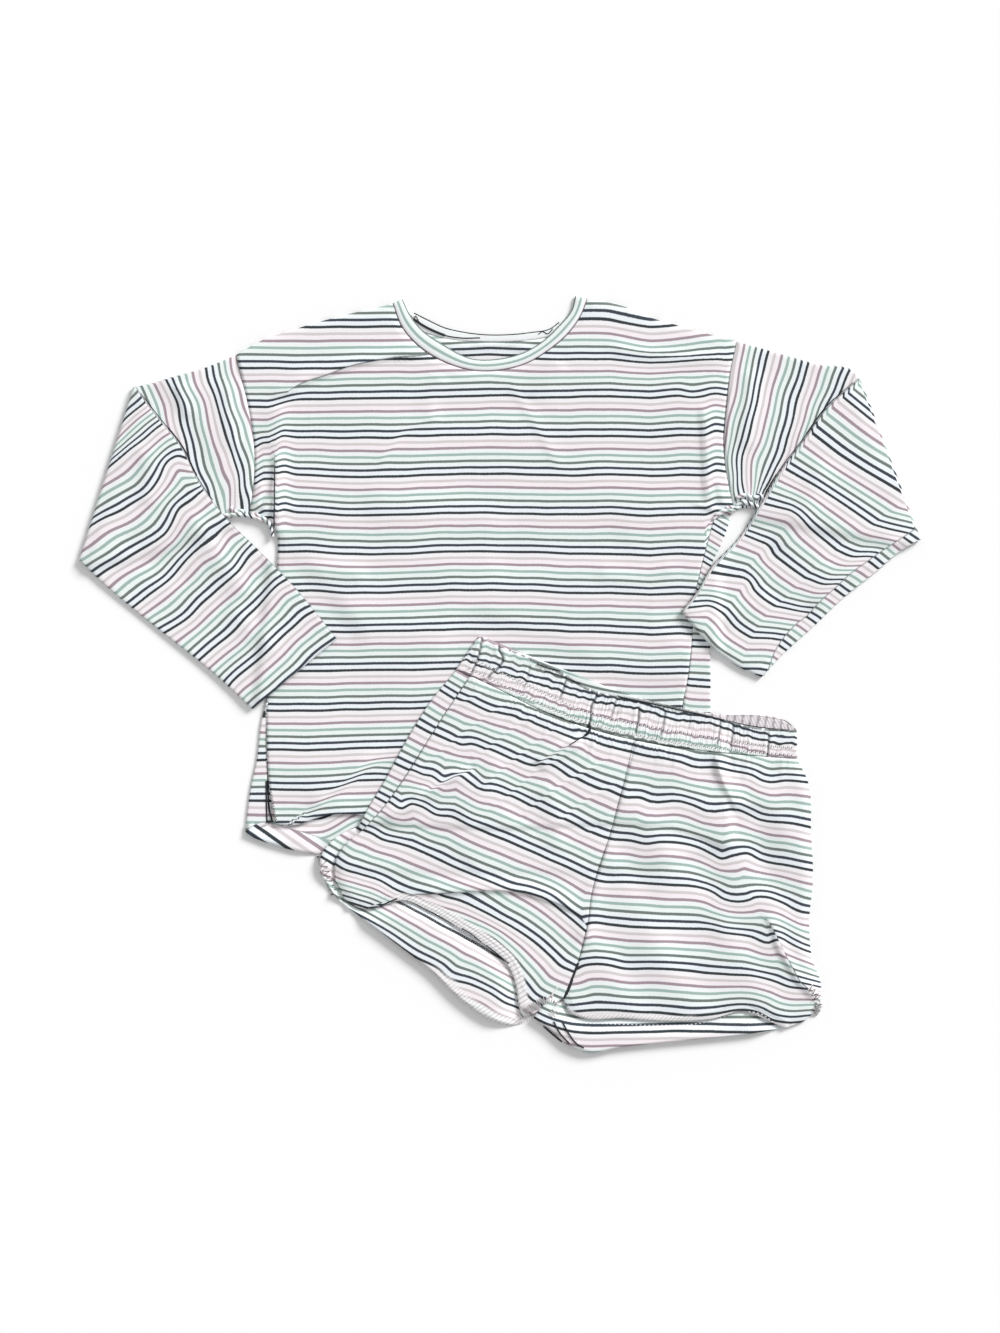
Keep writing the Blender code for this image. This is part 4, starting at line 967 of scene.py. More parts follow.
# the sleeves
sleeve = dict(
    puff=0.0013,
    upperSwell=(0.0011, 0.04, 5),
    lowerSwell=(0.0011, 0.045, 7),
    seam=0.0002,  # from the armhole
    bend=(jersey["rest"] + jersey["flat"]) / 2,
    stripRuns=dict(Right=(0.5, -0.86), Left=(-0.5, -0.86)),  # how stripes run outside the seam
    stripShift=0.15,
    wander=(0.0020, 0.016, 8),
    bunch=(0.0040, 0.0085, 5),  # how its stripes wriggle by the underarm
    bunchReach=0.06,
    # painted shade: along the seam where the arm lies raised, round the rolled edges, and at the folded arm's
    # inner edge
    paintedSeamShade=0.8,
    paintedRollShade=0.28,
    paintedFoldShade=0.85,  # the inner edge of the folded arm
    hem=(0.018, 0.0005),
    armholeDrop=0.0003,
    cuffDrop=0.0008,
    settles=0.014,  # how soon its lower layer rises from the elbow
    acrossRows=(56, 90),
)
sleeveFolds = (
    fold(1.6, 7, 12, -300, 325, -297, 285, -288, 240),
    fold(2.2, 10, 6, -352, 322, -350, 300, -345, 278),
    fold(1.8, 12, 16, -345, 180, -310, 130, -270, 75),
    fold(-0.9, 16, 14, -420, 160, -380, 120, -330, 100),
    fold(1.4, 12, 14, -300, 80, -270, 45, -240, 20),
    fold(1.3, 14, 10, -395, 255, -385, 215, -390, 180),
    fold(1.6, 12, 8, 275, 340, 274, 290, 268, 240),
    fold(1.8, 16, 12, 360, 240, 335, 180, 300, 130),
    fold(-0.9, 14, 16, 430, 200, 390, 155, 350, 120),
    fold(1.4, 14, 12, 300, 90, 270, 70, 240, 60),
    fold(2.2, 6, 10, 445, 157, 419, 132.5, 380.6, 105, 365.2, 92.9, 337.7, 63.3),
)
sleeveSeams = dict(
    sleeveRight=mm(
        475.2, 163.1, 457.3, 159.2, 446.6, 152.4, 431.8, 142.7, 415.3, 131.7, 404.3, 123.8, 385, 109.7,
        367.2, 93.2, 356.2, 83.6, 345.2, 72.6, 338.2, 64.4, 325.6, 54.5, 305, 30, 290, -10,
    ),
    sleeveLeft=mm(-480, 130, -466.4, 112.4, -380, 40, -270, -52),
)
# cloth bunched into small rolls under each arm: radius, and the line
underarmRolls = dict(
    Left=(
        (0.0019, mm(-308, 172.2, -296, 174.5, -283, 174.5, -270, 172.2, -259, 167.2)),
        (0.0014, mm(-296, 183, -290, 177.5, -284, 179, -279, 174)),
        (0.0015, mm(-273, 175.5, -264, 172.8, -255, 166.5, -251, 159, -249.5, 150)),
    ),
    Right=(
        (0.0021, mm(248, 182, 257, 182.2, 266, 188, 276, 186.2, 288, 181)),
        (0.0018, mm(260, 193, 269, 196, 279, 192.5, 285, 196, 292, 190)),
        (0.0016, mm(240, 174, 247, 179, 256, 180, 264, 185, 268, 190)),
        (0.0013, mm(234, 169, 240, 176, 246, 180)),
    ),
)
rollShape = dict(around=12, height=0.0062, repeat=0.043, through=0.2, waist=0.0027)


def roll(radius, spots):  # a small tube of cloth with stripes across it
    line = curve(spots, 6)
    travelled = travelledOn(line)
    ahead = unit(np.gradient(line, axis=0))
    square = np.column_stack([-ahead[:, 1], ahead[:, 0]])
    thick = radius * (0.35 + 0.65 * np.sin(np.linspace(0.08, 0.92, len(line)) * math.pi))
    thick = (thick * (1 + 0.16 * np.sin(travelled / rollShape["waist"])))[:, None]
    turns = np.arange(rollShape["around"]) * math.tau / rollShape["around"]
    plan = line[:, None] + square[:, None] * (thick * np.cos(turns))[..., None]
    height = rollShape["height"] - radius + thick * np.sin(turns)
    through = rollShape["through"] + travelled[:, None] / rollShape["repeat"] + 0.05 * np.cos(turns)
    return grid(np.dstack([plan, height]), radius * turns[None], through, True, True)


def wriggle(points, underarm):
    near = hill(np.linalg.norm((points - underarm) * (1.3, 0.8), axis=-1), 0, sleeve["bunchReach"])
    return uneven(points, *sleeve["wander"]) + near * uneven(points * (1.0, 0.6), *sleeve["bunch"])


def makeSleeve(side, sign):
    armhole = moved(lines["armhole" + side], x=sign * sleeve["seam"])
    innerEdge, outerEdge = lines[f"forearm{side}Inner"], lines[f"forearm{side}Outer"]
    cuff = lines["cuff" + side]
    upperGuide, lowerGuide = guides["upper" + side], guides["forearm" + side]
    across = np.concatenate([[0], np.linspace(0.008, 0.992, 52), [1]])
    start, end = innerEdge[0], outerEdge[0]
    out = unit(np.array((end[1] - start[1], start[0] - end[0])))
    if out @ (start - armhole[0]) < 0:
        out = -out
    crease = np.array((start, end)) - out * sleeve["bend"]
    elbow = along(crease, across)
    down, turnsDown = [np.linspace(0, 1, count) for count in sleeve["acrossRows"]]
    edges = zip(armhole[[0, -1]], (lines[f"sleeve{side}Top"], lines[f"sleeve{side}Under"]), crease)
    rails = [along(np.vstack([first, edge[1:-4], last]), down) for first, edge, last in edges]
    upper, raised = ring(patch(along(armhole, across), elbow, *rails))
    edges = zip(crease, (innerEdge, outerEdge))
    rails = [along(np.vstack([first, edge[4:]]), turnsDown) for first, edge in edges]
    lower, _ = ring(patch(elbow, along(cuff, across), *rails))

    # the stripes run on round the bend, and part between the lower and the upper layer
    radius = sleeve["bend"] - raised * jersey["flat"]
    turns = np.linspace(0, 0.875, 8)
    unrolled = upper[-1][None] + out * radius[None, :, None] * (1 - turns[:, None, None]) * math.pi
    upperPhase = stripesFrom(upper, upperGuide)
    bendPhase = stripesFrom(unrolled, lowerGuide)
    whole = round(float((upperPhase[-1] - bendPhase[0]).mean()))
    bendPhase, lowerPhase = bendPhase + whole, stripesFrom(lower, lowerGuide) + whole
    gap = upperPhase[-1] - bendPhase[0]
    upperPhase = upperPhase - (1 - raised) * gap * eased(down)[:, None]
    bendPhase = bendPhase + raised * gap
    lowerPhase = lowerPhase + raised * gap * (1 - eased(turnsDown * 1.5))[:, None]
    phases = np.vstack([upperPhase, bendPhase[1:], lowerPhase])

    lift = lifted(upper, sleeve["puff"], sleeve["upperSwell"], sleeveFolds, (shapes["forearm" + side],))
    height = raised * (jersey["flat"] + lift) - raised * sunk(upper, (armhole,), sleeve["armholeDrop"])
    rows = list(withHeight(upper, height))
    for turn in turns[1:] * math.pi:
        spot = upper[-1] + out * (radius * math.sin(turn))[:, None]
        rows.append(np.column_stack([spot, sleeve["bend"] - radius * math.cos(turn)]))
    lift = lifted(lower, sleeve["puff"], sleeve["lowerSwell"], sleeveFolds)
    lift = lift * eased(distanceTo(lower, crease) / sleeve["settles"])
    lift = lift + hemmed(lower, cuff, *sleeve["hem"]) - sunk(lower, (cuff,), sleeve["cuffDrop"])
    supports = ((shapes["upper" + side], jersey["rest"]), (shapes["topFront"], jersey["rest"]))
    height = drape(lower, supports) + (1 - raised) * (jersey["flat"] + lift)
    rows = np.array(rows + list(withHeight(lower, height)))
    plan = rows[..., :2]
    phases = phases + wriggle(plan, armhole[-1]) / jersey["repeat"]

    seamSide, _ = against(plan, curve(sleeveSeams["sleeve" + side]))
    seamSide = np.clip(seamSide, -jersey["reach"], jersey["reach"])
    strip = np.array(sleeve["stripRuns"][side])
    beyond = stripesFrom(plan - strip * seamSide[..., None], lowerGuide) + whole + sleeve["stripShift"]
    onTop = np.arange(len(rows)) >= len(upper) + 7
    seamSide = np.where(onTop[:, None], seamSide, -jersey["reach"])
    rolled = np.flatnonzero((raised > 0) & (raised < 1))  # round the outer edge, then round the inner one
    # painted shade along the seam, round the rolled edges and along the fold's inner edge
    paintedSleeveShade = sleeve["paintedSeamShade"] * (rows[..., 2] > 0.002)
    paintedSleeveShade[:, rolled] = sleeve["paintedRollShade"]
    paintedSleeveShade[np.ix_(onTop, [0, *rolled[6:]])] = sleeve["paintedFoldShade"]
    edge = np.zeros(paintedSleeveShade.shape, bool)
    edge[:, rolled], edge[:, 0] = True, onTop
    seamSide, beyond = np.where(edge, 0, seamSide), np.where(edge, phases, beyond)
    travelled = plan @ unit(armhole[-1] - armhole[0])
    sheet = grid(rows, travelled, phases, sign > 0, True, seamSide, beyond, paintedSleeveShade)
    rolls = [roll(radius, spots) for radius, spots in underarmRolls[side]]
    return sheetOf("sleeve" + side, [sheet] + rolls, striped)


# the neckband: each part with its number of columns and its phases at the seam and at the free edge
neckband = dict(
    wall=0.0008,
    front=dict(height=0.0027, raised=0.0009, columns=84, phases=(0.335, 0.665)),
    back=dict(height=0.0006, raised=0.0003, columns=72, phases=(0.37, 0.46)),
    seamDrop=0.0003,
    seamGap=0.02,
)


def makeNeckband():
    sides, through = [], []
    spread = np.linspace(0, 1, 9)
    for part, seam, free in (
        (neckband["front"], lines["neckFront"], lines["neckFrontFree"]),
        (neckband["back"], lines["neckBack"][::-1], lines["neckBackFree"][::-1]),
    ):
        stations = np.linspace(0, 1, part["columns"] + 1)
        low, high = along(seam, stations), along(free, stations)
        low = low + (high - low) * neckband["seamGap"]
        tall = part["height"] + part["raised"] * (1 - (2 * spread - 1) ** 4)
        tall = tall - neckband["seamDrop"] * (spread == 0)
        plan = low[:, None] + (high - low)[:, None] * spread[None, :, None]
        sides.append(withHeight(plan, tall))
        first, last = part["phases"]
        through.append(np.broadcast_to(first + (last - first) * spread, plan.shape[:2]))
    front, back = sides
    bend = (0, (neckband["front"]["height"] - neckband["back"]["height"]) / 2, 0)
    turns = [(front[-1] + back[0]) / 2 + bend, (back[-1] + front[0]) / 2 + bend]
    rows = np.concatenate([front, turns[:1], back, turns[1:]]).transpose(1, 0, 2)
    phases = np.vstack([through[0], through[0][-1:], through[1], through[1][-1:]]).T
    sheet = grid(rows, travelledOn(rows[4]), phases, False, True)
    return sheetOf("neckBinding", [sheet], striped, neckband["wall"], 0.0)


# the shorts
shorts = dict(
    puff=0.0022,
    swell=(0.0012, 0.05, 11),
    edgeLift=(0.42, 0.024),  # how much of it is left at an edge, and how soon the rest comes
    waistSeam=0.0003,
    sideSeam=0.045,  # share of the front waist left of the side seam
    centre=0.545,  # share left of the centre seam
    heading=np.array((0.94, -0.34)),
    wobble=(0.0009, 0.03, 9),
    ripple=(0.0003, 0.011, 3),
    gathers=74,
    lowGathers=31,
    gatherHeight=0.0011,
    gatherFade=0.030,
    gatherShift=1.3,
    slantAcross=(0.59, -0.81),
    slantPitch=0.028,
    slantWander=(0.005, 0.04, 6),
    slantUneven=(0.3, 0.05, 4),
    slantSlip=0.0024,
    slantHeight=0.0011,
    swayAcross=(0.83, 0.56),
    sway=0.0016,
    swayPitch=0.064,
    swayWander=(0.010, 0.05, 7),
    swayUneven=(0.3, 0.05, 12),
    hem=(0.007, 0.0006),
    edgeDrop=0.0008,
    seamDrop=0.0003,
    lip=0.0062,  # how far the longer back stands off the floor at its hem
    lipWidth=0.017,
    bandSoft=0.002,
    band=dict(shortsFrontLeft=(0.0098, 0.20, 0.99), shortsFrontRight=(0.004, 0.02, 0.62)),
    backBand=0.0085,
)
underShorts = ((shapes["topFront"], jersey["rest"]), (shapes["topBack"], 0.0013))
waistCrease = mm(93.5, -69, 75.9, -78.7, 52.8, -91.9, 36.3, -101.8)
legCrease = mm(-22, -101, -39.6, -108, -57.2, -116.8, -80, -131)
shortsFolds = (
    fold(3.4, 10, 4, 91.3, -69.9, 66, -79.8, 49.5, -90.8, 36.3, -101.8),
    fold(3.4, 11, 4.5,
        -28.6, -101.8, -44, -109.5, -61.6, -118.3, -77, -128.2, -88, -133.7, -99, -143.6, -110, -149.1,
        -127.6, -160, -133, -168,
    ),
    fold(3.4, 13, 1.6,
        -108, -245.5, -97.5, -242.7, -73.8, -241.1, -42.5, -239.4, -18.8, -237.9, 12.5, -238.7, 36.2, -242.7,
        55, -248.9, 75.5, -257.6, 88, -265.4, 95.7, -277.9,
    ),
    fold(3.8, 11, 4.2, 237, -84, 240.5, -106.2, 247.5, -122.7, 254.7, -136.6, 262, -155),
    fold(2.4, 8, 3,
        287, -260, 302, -284, 304, -296.5, 311.7, -311, 319.4, -324, 327.1, -337, 341, -352, 350, -367,
    ),
    fold(-2.2, 22, 26, 222, -140, 226, -220, 224, -320),
    fold(-1.8, 18, 22, 285, -140, 290, -200, 288, -250),
    fold(1.6, 20, 26, 180, -140, 176, -240, 170, -345),
    fold(1.4, 24, 18, 20, -150, -10, -185, -40, -215),
    fold(1.6, 10, 12, 108, -215, 100, -262, 88, -300),
    fold(1.4, 12, 14, 45, -115, 60, -150, 60, -200),
    fold(1.3, 10, 12, 0, -85, -20, -130, -50, -165),
)
cornerFold = mm(352, -362, 342, -349, 330, -339, 321.5, -324, 314, -310, 304.7, -290.5, 296, -275, 287, -260)
# the fold over the left leg's hem
legFold = mm(
    -108, -246.5, -97.5, -243.7, -73.8, -242.1, -42.5, -240.4, -18.8, -238.9, 12.5, -239.7, 36.2, -243.7,
    55, -249.9, 75.5, -258.6, 88, -266.4, 95.7, -278.9,
)


def gathers(shares, number=shorts["gathers"]):  # uneven ridges along the waist, from 0 to 1
    drift = 0.010 * np.sin(7 * math.tau * shares) + 0.005 * np.sin(17 * math.tau * shares)
    drift = drift + 0.0022 * np.sin(41 * math.tau * shares + 1.3)
    ridge = 0.5 - 0.5 * np.cos(math.tau * number * (shares + drift))
    tall = 0.62 + 0.22 * np.sin(5 * math.tau * shares + 1) + 0.16 * np.sin(23 * math.tau * shares + 2)
    return ridge**1.4 * tall


def repeated(points, kind):  # where in a slightly uneven row of folds of this kind
    place = points @ np.array(shorts[kind + "Across"]) + uneven(points, *shorts[kind + "Wander"])
    return place / shorts[kind + "Pitch"] % 1


def sway(points):  # the right leg rises softly towards the light and drops again, fold after fold
    place = repeated(points, "sway")
    tall = np.where(place < 0.6, eased(place / 0.6), eased((1 - place) / 0.4))
    return shorts["sway"] * tall * (0.7 + uneven(points, *shorts["swayUneven"]))


def gatherRelief(points):
    gap, share = against(points, lines["waistFront"])
    gap = np.abs(gap)
    long = 0.5 + 0.5 * np.sin(math.tau * 13 * share + 2.2 * np.sin(math.tau * 4 * share))
    fade = 1 - eased(gap / (shorts["gatherFade"] * (0.35 + 1.1 * long)))
    low = eased(gap / 0.02)
    spread = gathers(share) * (1 - low) + gathers(share, shorts["lowGathers"]) * low
    return shorts["gatherHeight"] * spread * fade


def slanted(points):  # small slanted gathers under the band: how far they shift the stripes, and their height
    away = distanceTo(points, lines["waistFront"])
    place = repeated(points, "slant")
    saw = np.where(place < 0.15, eased(place / 0.15) - 0.5, 0.5 - (place - 0.15) / 0.85)
    here = onset(away, 0.002, 0.02) * onset(away, 0.15, -0.08) * onset(points[..., 0], 0.15, -0.06)
    here = here * (0.7 + uneven(points, *shorts["slantUneven"]))
    slipped = shorts["slantSlip"] * saw * here
    for spots in (waistCrease, legCrease):
        slipped = slipped - jog(points, spots, 0.0030, 0.0009, 0.018)
    return slipped, shorts["slantHeight"] * hill(place, 0.12, 0.11) * here


def shortsPhase(points, guide="shorts"):
    shift = uneven(points, *shorts["wobble"]) + uneven(points, *shorts["ripple"])
    return stripesFrom(points, guides[guide]) + shift / jersey["repeat"]


def hemBand(points, hem, name):  # where the turned hem shows its stitched inside
    gap, share = against(points, hem)
    width, first, last = shorts["band"][name]
    wide = width * (0.6 + 0.4 * onset(share, first, 0.3))
    band = 1 - onset(np.abs(gap), wide, shorts["bandSoft"])
    return band * onset(share, first, 0.04) * onset(share, last, -0.05)


def makeShortsFront(name, points, edges, seams):
    shift, ridges = slanted(points)
    gathered = gatherRelief(points)
    lift = lifted(points, shorts["puff"], shorts["swell"], shortsFolds) + gathered + ridges
    if name == "shortsFrontRight":
        lift = lift + sway(points)
    near = np.min([distanceTo(points, edge) for edge in edges], axis=0)
    least, soon = shorts["edgeLift"]
    height = drape(points, underShorts) + jersey["flat"] + lift * eased(least + near / soon)
    height = height - sunk(points, edges, shorts["edgeDrop"]) - sunk(points, seams, shorts["seamDrop"])
    height = height + hemmed(points, edges[0], *shorts["hem"])
    through = shortsPhase(points) + (shift + shorts["gatherShift"] * gathered) / jersey["repeat"]
    # pressed is painted shade along the fold over the left hem and along the turned right corner
    if name == "shortsFrontLeft":
        side, share = sideOf(points, legFold)
        pressed = onset(share, 0, 0.06) * (0.35 + 0.65 * onset(share, 0.3, -0.1))
        beyond = shortsPhase(points, "underFold")
    else:
        side, share = sideOf(points, cornerFold)
        turned = onset(share, 1, -0.2)
        pressed = (0.25 + 0.75 * onset(share, 0.6, -0.2)) * turned
        steep = points + np.maximum(side, 0)[..., None] * turned[..., None] * (0, 0.18)
        beyond = shortsPhase(steep) + (0.08 + 0.08 * onset(share, 0.6, -0.3)) * turned
    band = hemBand(points, edges[0], name)
    travelled = points @ shorts["heading"]
    sheet = grid(withHeight(points, height), travelled, through, True, False, side, beyond, pressed, band)
    return sheetOf(name, [sheet], striped)


def panelOf(first, last, columns, hem, left, right):  # between two shares of the waist, down to its hem
    across = np.linspace(0, 1, columns)
    waist = moved(along(lines["waistFront"], first + (last - first) * across), y=-shorts["waistSeam"])
    bottom = along(lines[hem], across)
    waist[0], waist[-1], bottom[0], bottom[-1] = left[0], right[0], left[-1], right[-1]
    return patch(waist, bottom, left, right)


def makeShortsFronts():
    centre, sideSeam = lines["centreFront"], lines["shortsSideSeam"]
    curl = moved(lines["hemLeftCurl"], x=jersey["seam"])
    down = stops(138, 34)
    left = joined(down, moved(sideSeam, x=jersey["seam"]), curl)
    rightRows = np.interp(down, (0, 1, 1.5, 2), (0, 0.82, 1, 2))
    right = moved(joined(rightRows, centre, lines["inseamLeft"]), x=-jersey["seam"])
    points = panelOf(shorts["sideSeam"], shorts["centre"], 140, "hemLeftFront", left, right)
    seams = (sideSeam, centre, points[0])
    frontLeft = makeShortsFront("shortsFrontLeft", points, (lines["hemLeftFront"], curl), seams)

    down = np.linspace(0, 1, 150)
    left, right = moved(along(centre, down), x=jersey["seam"]), along(lines["shortsRight"], down)
    points = panelOf(shorts["centre"], 1, 124, "hemRightFront", left, right)
    edges = (lines["hemRightFront"], lines["shortsRight"])
    return frontLeft, makeShortsFront("shortsFrontRight", points, edges, (centre, points[0]))


def lip(points, hem):  # the back curls up beyond the front's hem
    return shorts["lip"] * eased(against(points, lines[hem])[0] / shorts["lipWidth"])


def makeShortsBacks():
    across = np.linspace(0, 1, 64)
    rows = stops(84, 20)
    outline = moved(lines["shortsLeft"], x=jersey["roll"] * 0.85, y=-jersey["roll"] * 1.2)
    left = joined(rows, outline, np.vstack([outline[-1:], lines["shortsLeftLeg"][1:]]))
    rightRows = np.interp(rows, (0, 1, 2), (0, 0.8, 1))
    right = moved(along(lines["centreBack"], rightRows), x=-jersey["seam"])
    main = panelOf(0, shorts["centre"], 64, "hemLeftBack", left, right)
    curled = 0.8 * lip(main, "hemLeftCurl") * onset(main[..., 1], -0.165, -0.02)
    raised = lip(main, "hemLeftFront") * onset(across, 0.93, -0.12)
    height = drape(main, underShorts) + np.maximum(raised, curled)
    wrapped = rows <= 1
    seam = moved(along(lines["shortsSideSeam"], rows[wrapped]), x=-jersey["seam"])
    flap = wrappedSide(main[wrapped, 0], seam, height[wrapped, 0])
    away, share = against(main, lines["hemLeftBack"])
    band = 1 - onset(np.abs(away), shorts["backBand"], shorts["bandSoft"])
    band = 0.8 * band * onset(share, 0.45, 0.15)
    phase, flapPhase = shortsPhase(main, "shortsBack"), shortsPhase(flap[..., :2], "shortsBack")
    grids = [grid(withHeight(main, height), main @ shorts["heading"], phase, False, band=band)]
    grids.append(grid(flap, flap[..., :2] @ shorts["heading"], flapPhase, True))
    backLeft = sheetOf("shortsBackLeft", grids, striped)

    down = np.linspace(0, 1, 100)
    left, right = moved(along(lines["centreBack"], down), x=jersey["seam"]), along(lines["shortsRight"], down)
    main = panelOf(shorts["centre"], 1, 64, "hemRightBack", left, right)
    height = drape(main, underShorts) + lip(main, "hemRightFront")
    sheet = grid(withHeight(main, height), main @ shorts["heading"], shortsPhase(main, "shortsBack"), False)
    return backLeft, sheetOf("shortsBackRight", [sheet], striped)


# the waistband
waistband = dict(
    wall=0.0011,
    flat=0.004,
    columns=620,
    backColumns=150,
    ends=(0.005, 0.995),  # shares of its lines
    ridge=0.0013,
    fineGathers=117,
    seams=(0.62, 0.88),  # where stitching runs round it
    seamWidth=0.028,
    seamDepth=0.0004,
    seamGathers=0.12,  # how far from the seams the fine gathers reach
    frill=0.0005,
    frills=96,
    edgeDrop=0.0006,
    creaseDepth=0.0016,
    creaseWidth=0.0011,
    creaseSlip=0.0012,  # how far the stripes jump at a crease
    bulge=0.0006,  # beside a crease
    bulgeAt=(0.0035, 0.002),
    jitter=(0.0015, 0.0032, 4),  # how far each gather shifts them
    ridgeUneven=(0.5, 0.012, 6),
    rimUneven=(1, 0.0022, 8),
    rimX=(0.033, 0.322),  # where the rim lies in painted shadow
    # strength of the painted shade on the rim and in the creases
    rimDark=1.2,
    creaseShade=1.3,
    insideFrom=0.15,
)
# deep creases across it, each with its strength: how deep it is, how far the stripes jump and how much
# painted shade lies in it
bandCreases = (
    (0.9, mm(-1.1, 35.8, -1.1, 25.9, 3.3, 16, -1.1, 7.2, -11, -1.7, -15.4, -10.5)),
    (0.3, mm(33, 11.6, 29.7, -5, 23.1, -18.2)),
    (0.7, mm(72.6, -6.1, 70.4, -13.8, 64.9, -29.2)),
    (0.9, mm(105.6, -12.7, 105.6, -24.8, 100.1, -35.8, 99, -51.2, 93.5, -63.3, 88, -71)),
    (0.5, mm(127.2, -28.1, 123.8, -40.2, 119.9, -53.4)),
    (0.3, mm(133.1, -33.6, 127.6, -47.9)),
    (0.8, mm(152.6, -34.7, 151.3, -53.4, 147.4, -68.8)),
    (0.6, mm(181.5, -39.1, 179.3, -53.4, 174.9, -71)),
    (0.3, mm(209, -46.8, 206.8, -62.2)),
    (0.7, mm(242, -49, 240.9, -63.3, 237.6, -80.9)),
    (0.5, mm(256.3, -53.4, 255.2, -66.6, 253, -84.2)),
    (0.7, mm(294.8, -63.3, 294.8, -78.7, 292.6, -95.2)),
)
bandSideSeam = mm(-19.3, 41.3, -24.8, 16, -33, -2.8, -35.2, -8)


def acrossBand(points):  # the nearest crease: signed distance and the strength of its painted shade, and the slips of all
    nearest = np.full(points.shape[:-1], -0.05)
    dark = np.zeros(points.shape[:-1])
    slips = np.zeros(points.shape[:-1])
    for strength, spots in bandCreases:
        gap, share = against(points, curve(spots, 4))
        closer = np.abs(gap) < np.abs(nearest)
        nearest = np.where(closer, gap, nearest)
        dark = np.where(closer, strength * onset(share, 0, 0.15) * onset(share, 1, -0.15), dark)
        slips += strength * np.tanh(gap / 0.001) * np.exp(-np.abs(gap) / 0.009)
    gap, _ = against(points, curve(bandSideSeam, 4))
    closer = np.abs(gap) < np.abs(nearest)
    nearest, dark = np.where(closer, gap, nearest), np.where(closer, 0.7, dark)
    slips += 1.5 * np.tanh(gap / 0.0006) * np.exp(-np.abs(gap) / 0.02)
    return nearest, dark, slips


def turnedEnds(upper, lower):  # joins the band's upper layer to the lower one, round both of its ends
    turns = []
    for first, last, sign in ((upper[-1], lower[0], 1), (lower[-1], upper[0], -1)):
        for turn in np.linspace(0.125, 0.875, 7) * math.pi:
            spot = first + (last - first) * (1 - math.cos(turn)) / 2
            turns.append(spot + (sign * waistband["flat"] / 2 * math.sin(turn), 0, 0))
    return np.vstack([upper, turns[:7], lower, turns[7:]])


def makeWaistband():
    first, last = waistband["ends"]
    back = np.linspace(last, first, waistband["backColumns"])
    backTop, backBottom = along(lines["bandTopBack"], back), along(lines["waistFront"], back)
    shares = np.linspace(first, last, waistband["columns"])
    top, bottom = along(lines["bandTopFront"], shares), along(lines["waistFront"], shares)
    frill = waistband["frill"] * (gathers(shares, waistband["frills"]) - 0.5)
    top = top + frill[:, None] * (0.3, 0.9)
    drops = np.linspace(0, 1, 31)
    ends = eased(8 * np.minimum(shares, 1 - shares))
    rows = []
    for drop in drops:
        plan = top + (bottom - top) * drop
        under = backTop + (backBottom - backTop) * drop
        seam = min(sum(hill(drop, at, waistband["seamWidth"]) for at in waistband["seams"]), 1)
        close = min(sum(hill(drop, at, waistband["seamGathers"]) for at in (0, *waistband["seams"])), 1)
        ridge = 0.7 * gathers(shares + 0.002 * math.sin(9 * drop))
        ridge = ridge * (0.5 + uneven(plan, *waistband["ridgeUneven"]))
        fine = gathers(shares + 0.001 * math.sin(21 * drop), waistband["fineGathers"])
        ridge = waistband["ridge"] * (ridge + close * fine) * ends
        edge = 1 - eased(min(drop, 1 - drop) / 0.07)
        gap, dark, _ = acrossBand(plan)
        valley = waistband["creaseDepth"] * dark * hill(gap, 0, waistband["creaseWidth"])
        bulge = waistband["bulge"] * dark * hill(np.abs(gap), *waistband["bulgeAt"])
        ridge = ridge * (1 - 0.4 * seam) + bulge - valley
        ridge = ridge - waistband["seamDepth"] * seam - waistband["edgeDrop"] * edge
        upper = np.column_stack([plan, drape(plan[None], underShorts)[0] + waistband["flat"] + ridge])
        rows.append(turnedEnds(upper, np.column_stack([under, drape(under[None], underShorts)[0]])))
    rows = np.array(rows)
    plan, x = rows[..., :2], rows[..., 0]
    column = np.arange(rows.shape[1])
    onTop = column < len(shares)
    gap, dark, slips = acrossBand(plan)
    turned = plan @ np.array(((0.93, 0.12), (-0.37, 0.3)))
    wobble = uneven(turned, *waistband["jitter"]) + waistband["creaseSlip"] * slips
    phase = stripesFrom(plan, guides["shorts"]) + wobble * onTop / jersey["repeat"]
    stitched = sum(hill(drops, at, 0.022) for at in waistband["seams"]) + 0.6 * (1 - eased(drops / 0.04))
    # a dark line of painted shadow along the rim, and painted shade in each crease
    rimHere = (x > waistband["rimX"][0]) & (x < waistband["rimX"][1])
    broken = uneven(plan, *waistband["rimUneven"]) > np.where(rimHere, -0.45, 0.1)
    rim = (drops[:, None] < np.where(rimHere, 0.08, 0.05)) & onTop & broken
    side = np.where(rim, 0, np.where(onTop, 0.6 * np.abs(gap), 0.05))
    dark = np.where(rim, waistband["rimDark"], waistband["creaseShade"] * dark)
    inside = 2.0 * (column >= len(shares) + 5) * (x > waistband["insideFrom"])
    band = 0.5 * stitched[:, None] * onTop + inside
    sheet = grid(rows, travelledOn(plan[15]), phase, True, True, side, None, dark, band)
    return sheetOf("gatheredBand", [sheet], striped, waistband["wall"])


# the sewing, and dark strands of painted shadow in folds, openings, the pocket and beside the arms
thread = dict(
    radius=0.00034,
    sides=5,
    tick=0.0028,
    tickPitch=0.0044,
    tickLean=(1.35, 1.05),  # in the upper and the lower row
    shade=0.86,
    pale=fromScreen(246, 242, 242),
    dark=fromScreen(46, 48, 52),
)


def threadFinish(name, colour):
    finish = Finish(name, 0.8)
    ply = finish.noise(finish.add("ShaderNodeTexCoord", {}, {}, "Object"), 1500.0, 2.0)
    shade = (*(value * thread["shade"] for value in colour[:3]), 1.0)
    finish.colour(finish.ramp(ply, [(0.35, shade), (0.65, colour)]))
    finish.bump(ply, 0.4, 0.0002)
    return finish.material


def treeOf(piece):
    corners = [corner.co for corner in piece.data.vertices]
    return BVHTree.FromPolygons(corners, [face.vertices for face in piece.data.polygons])


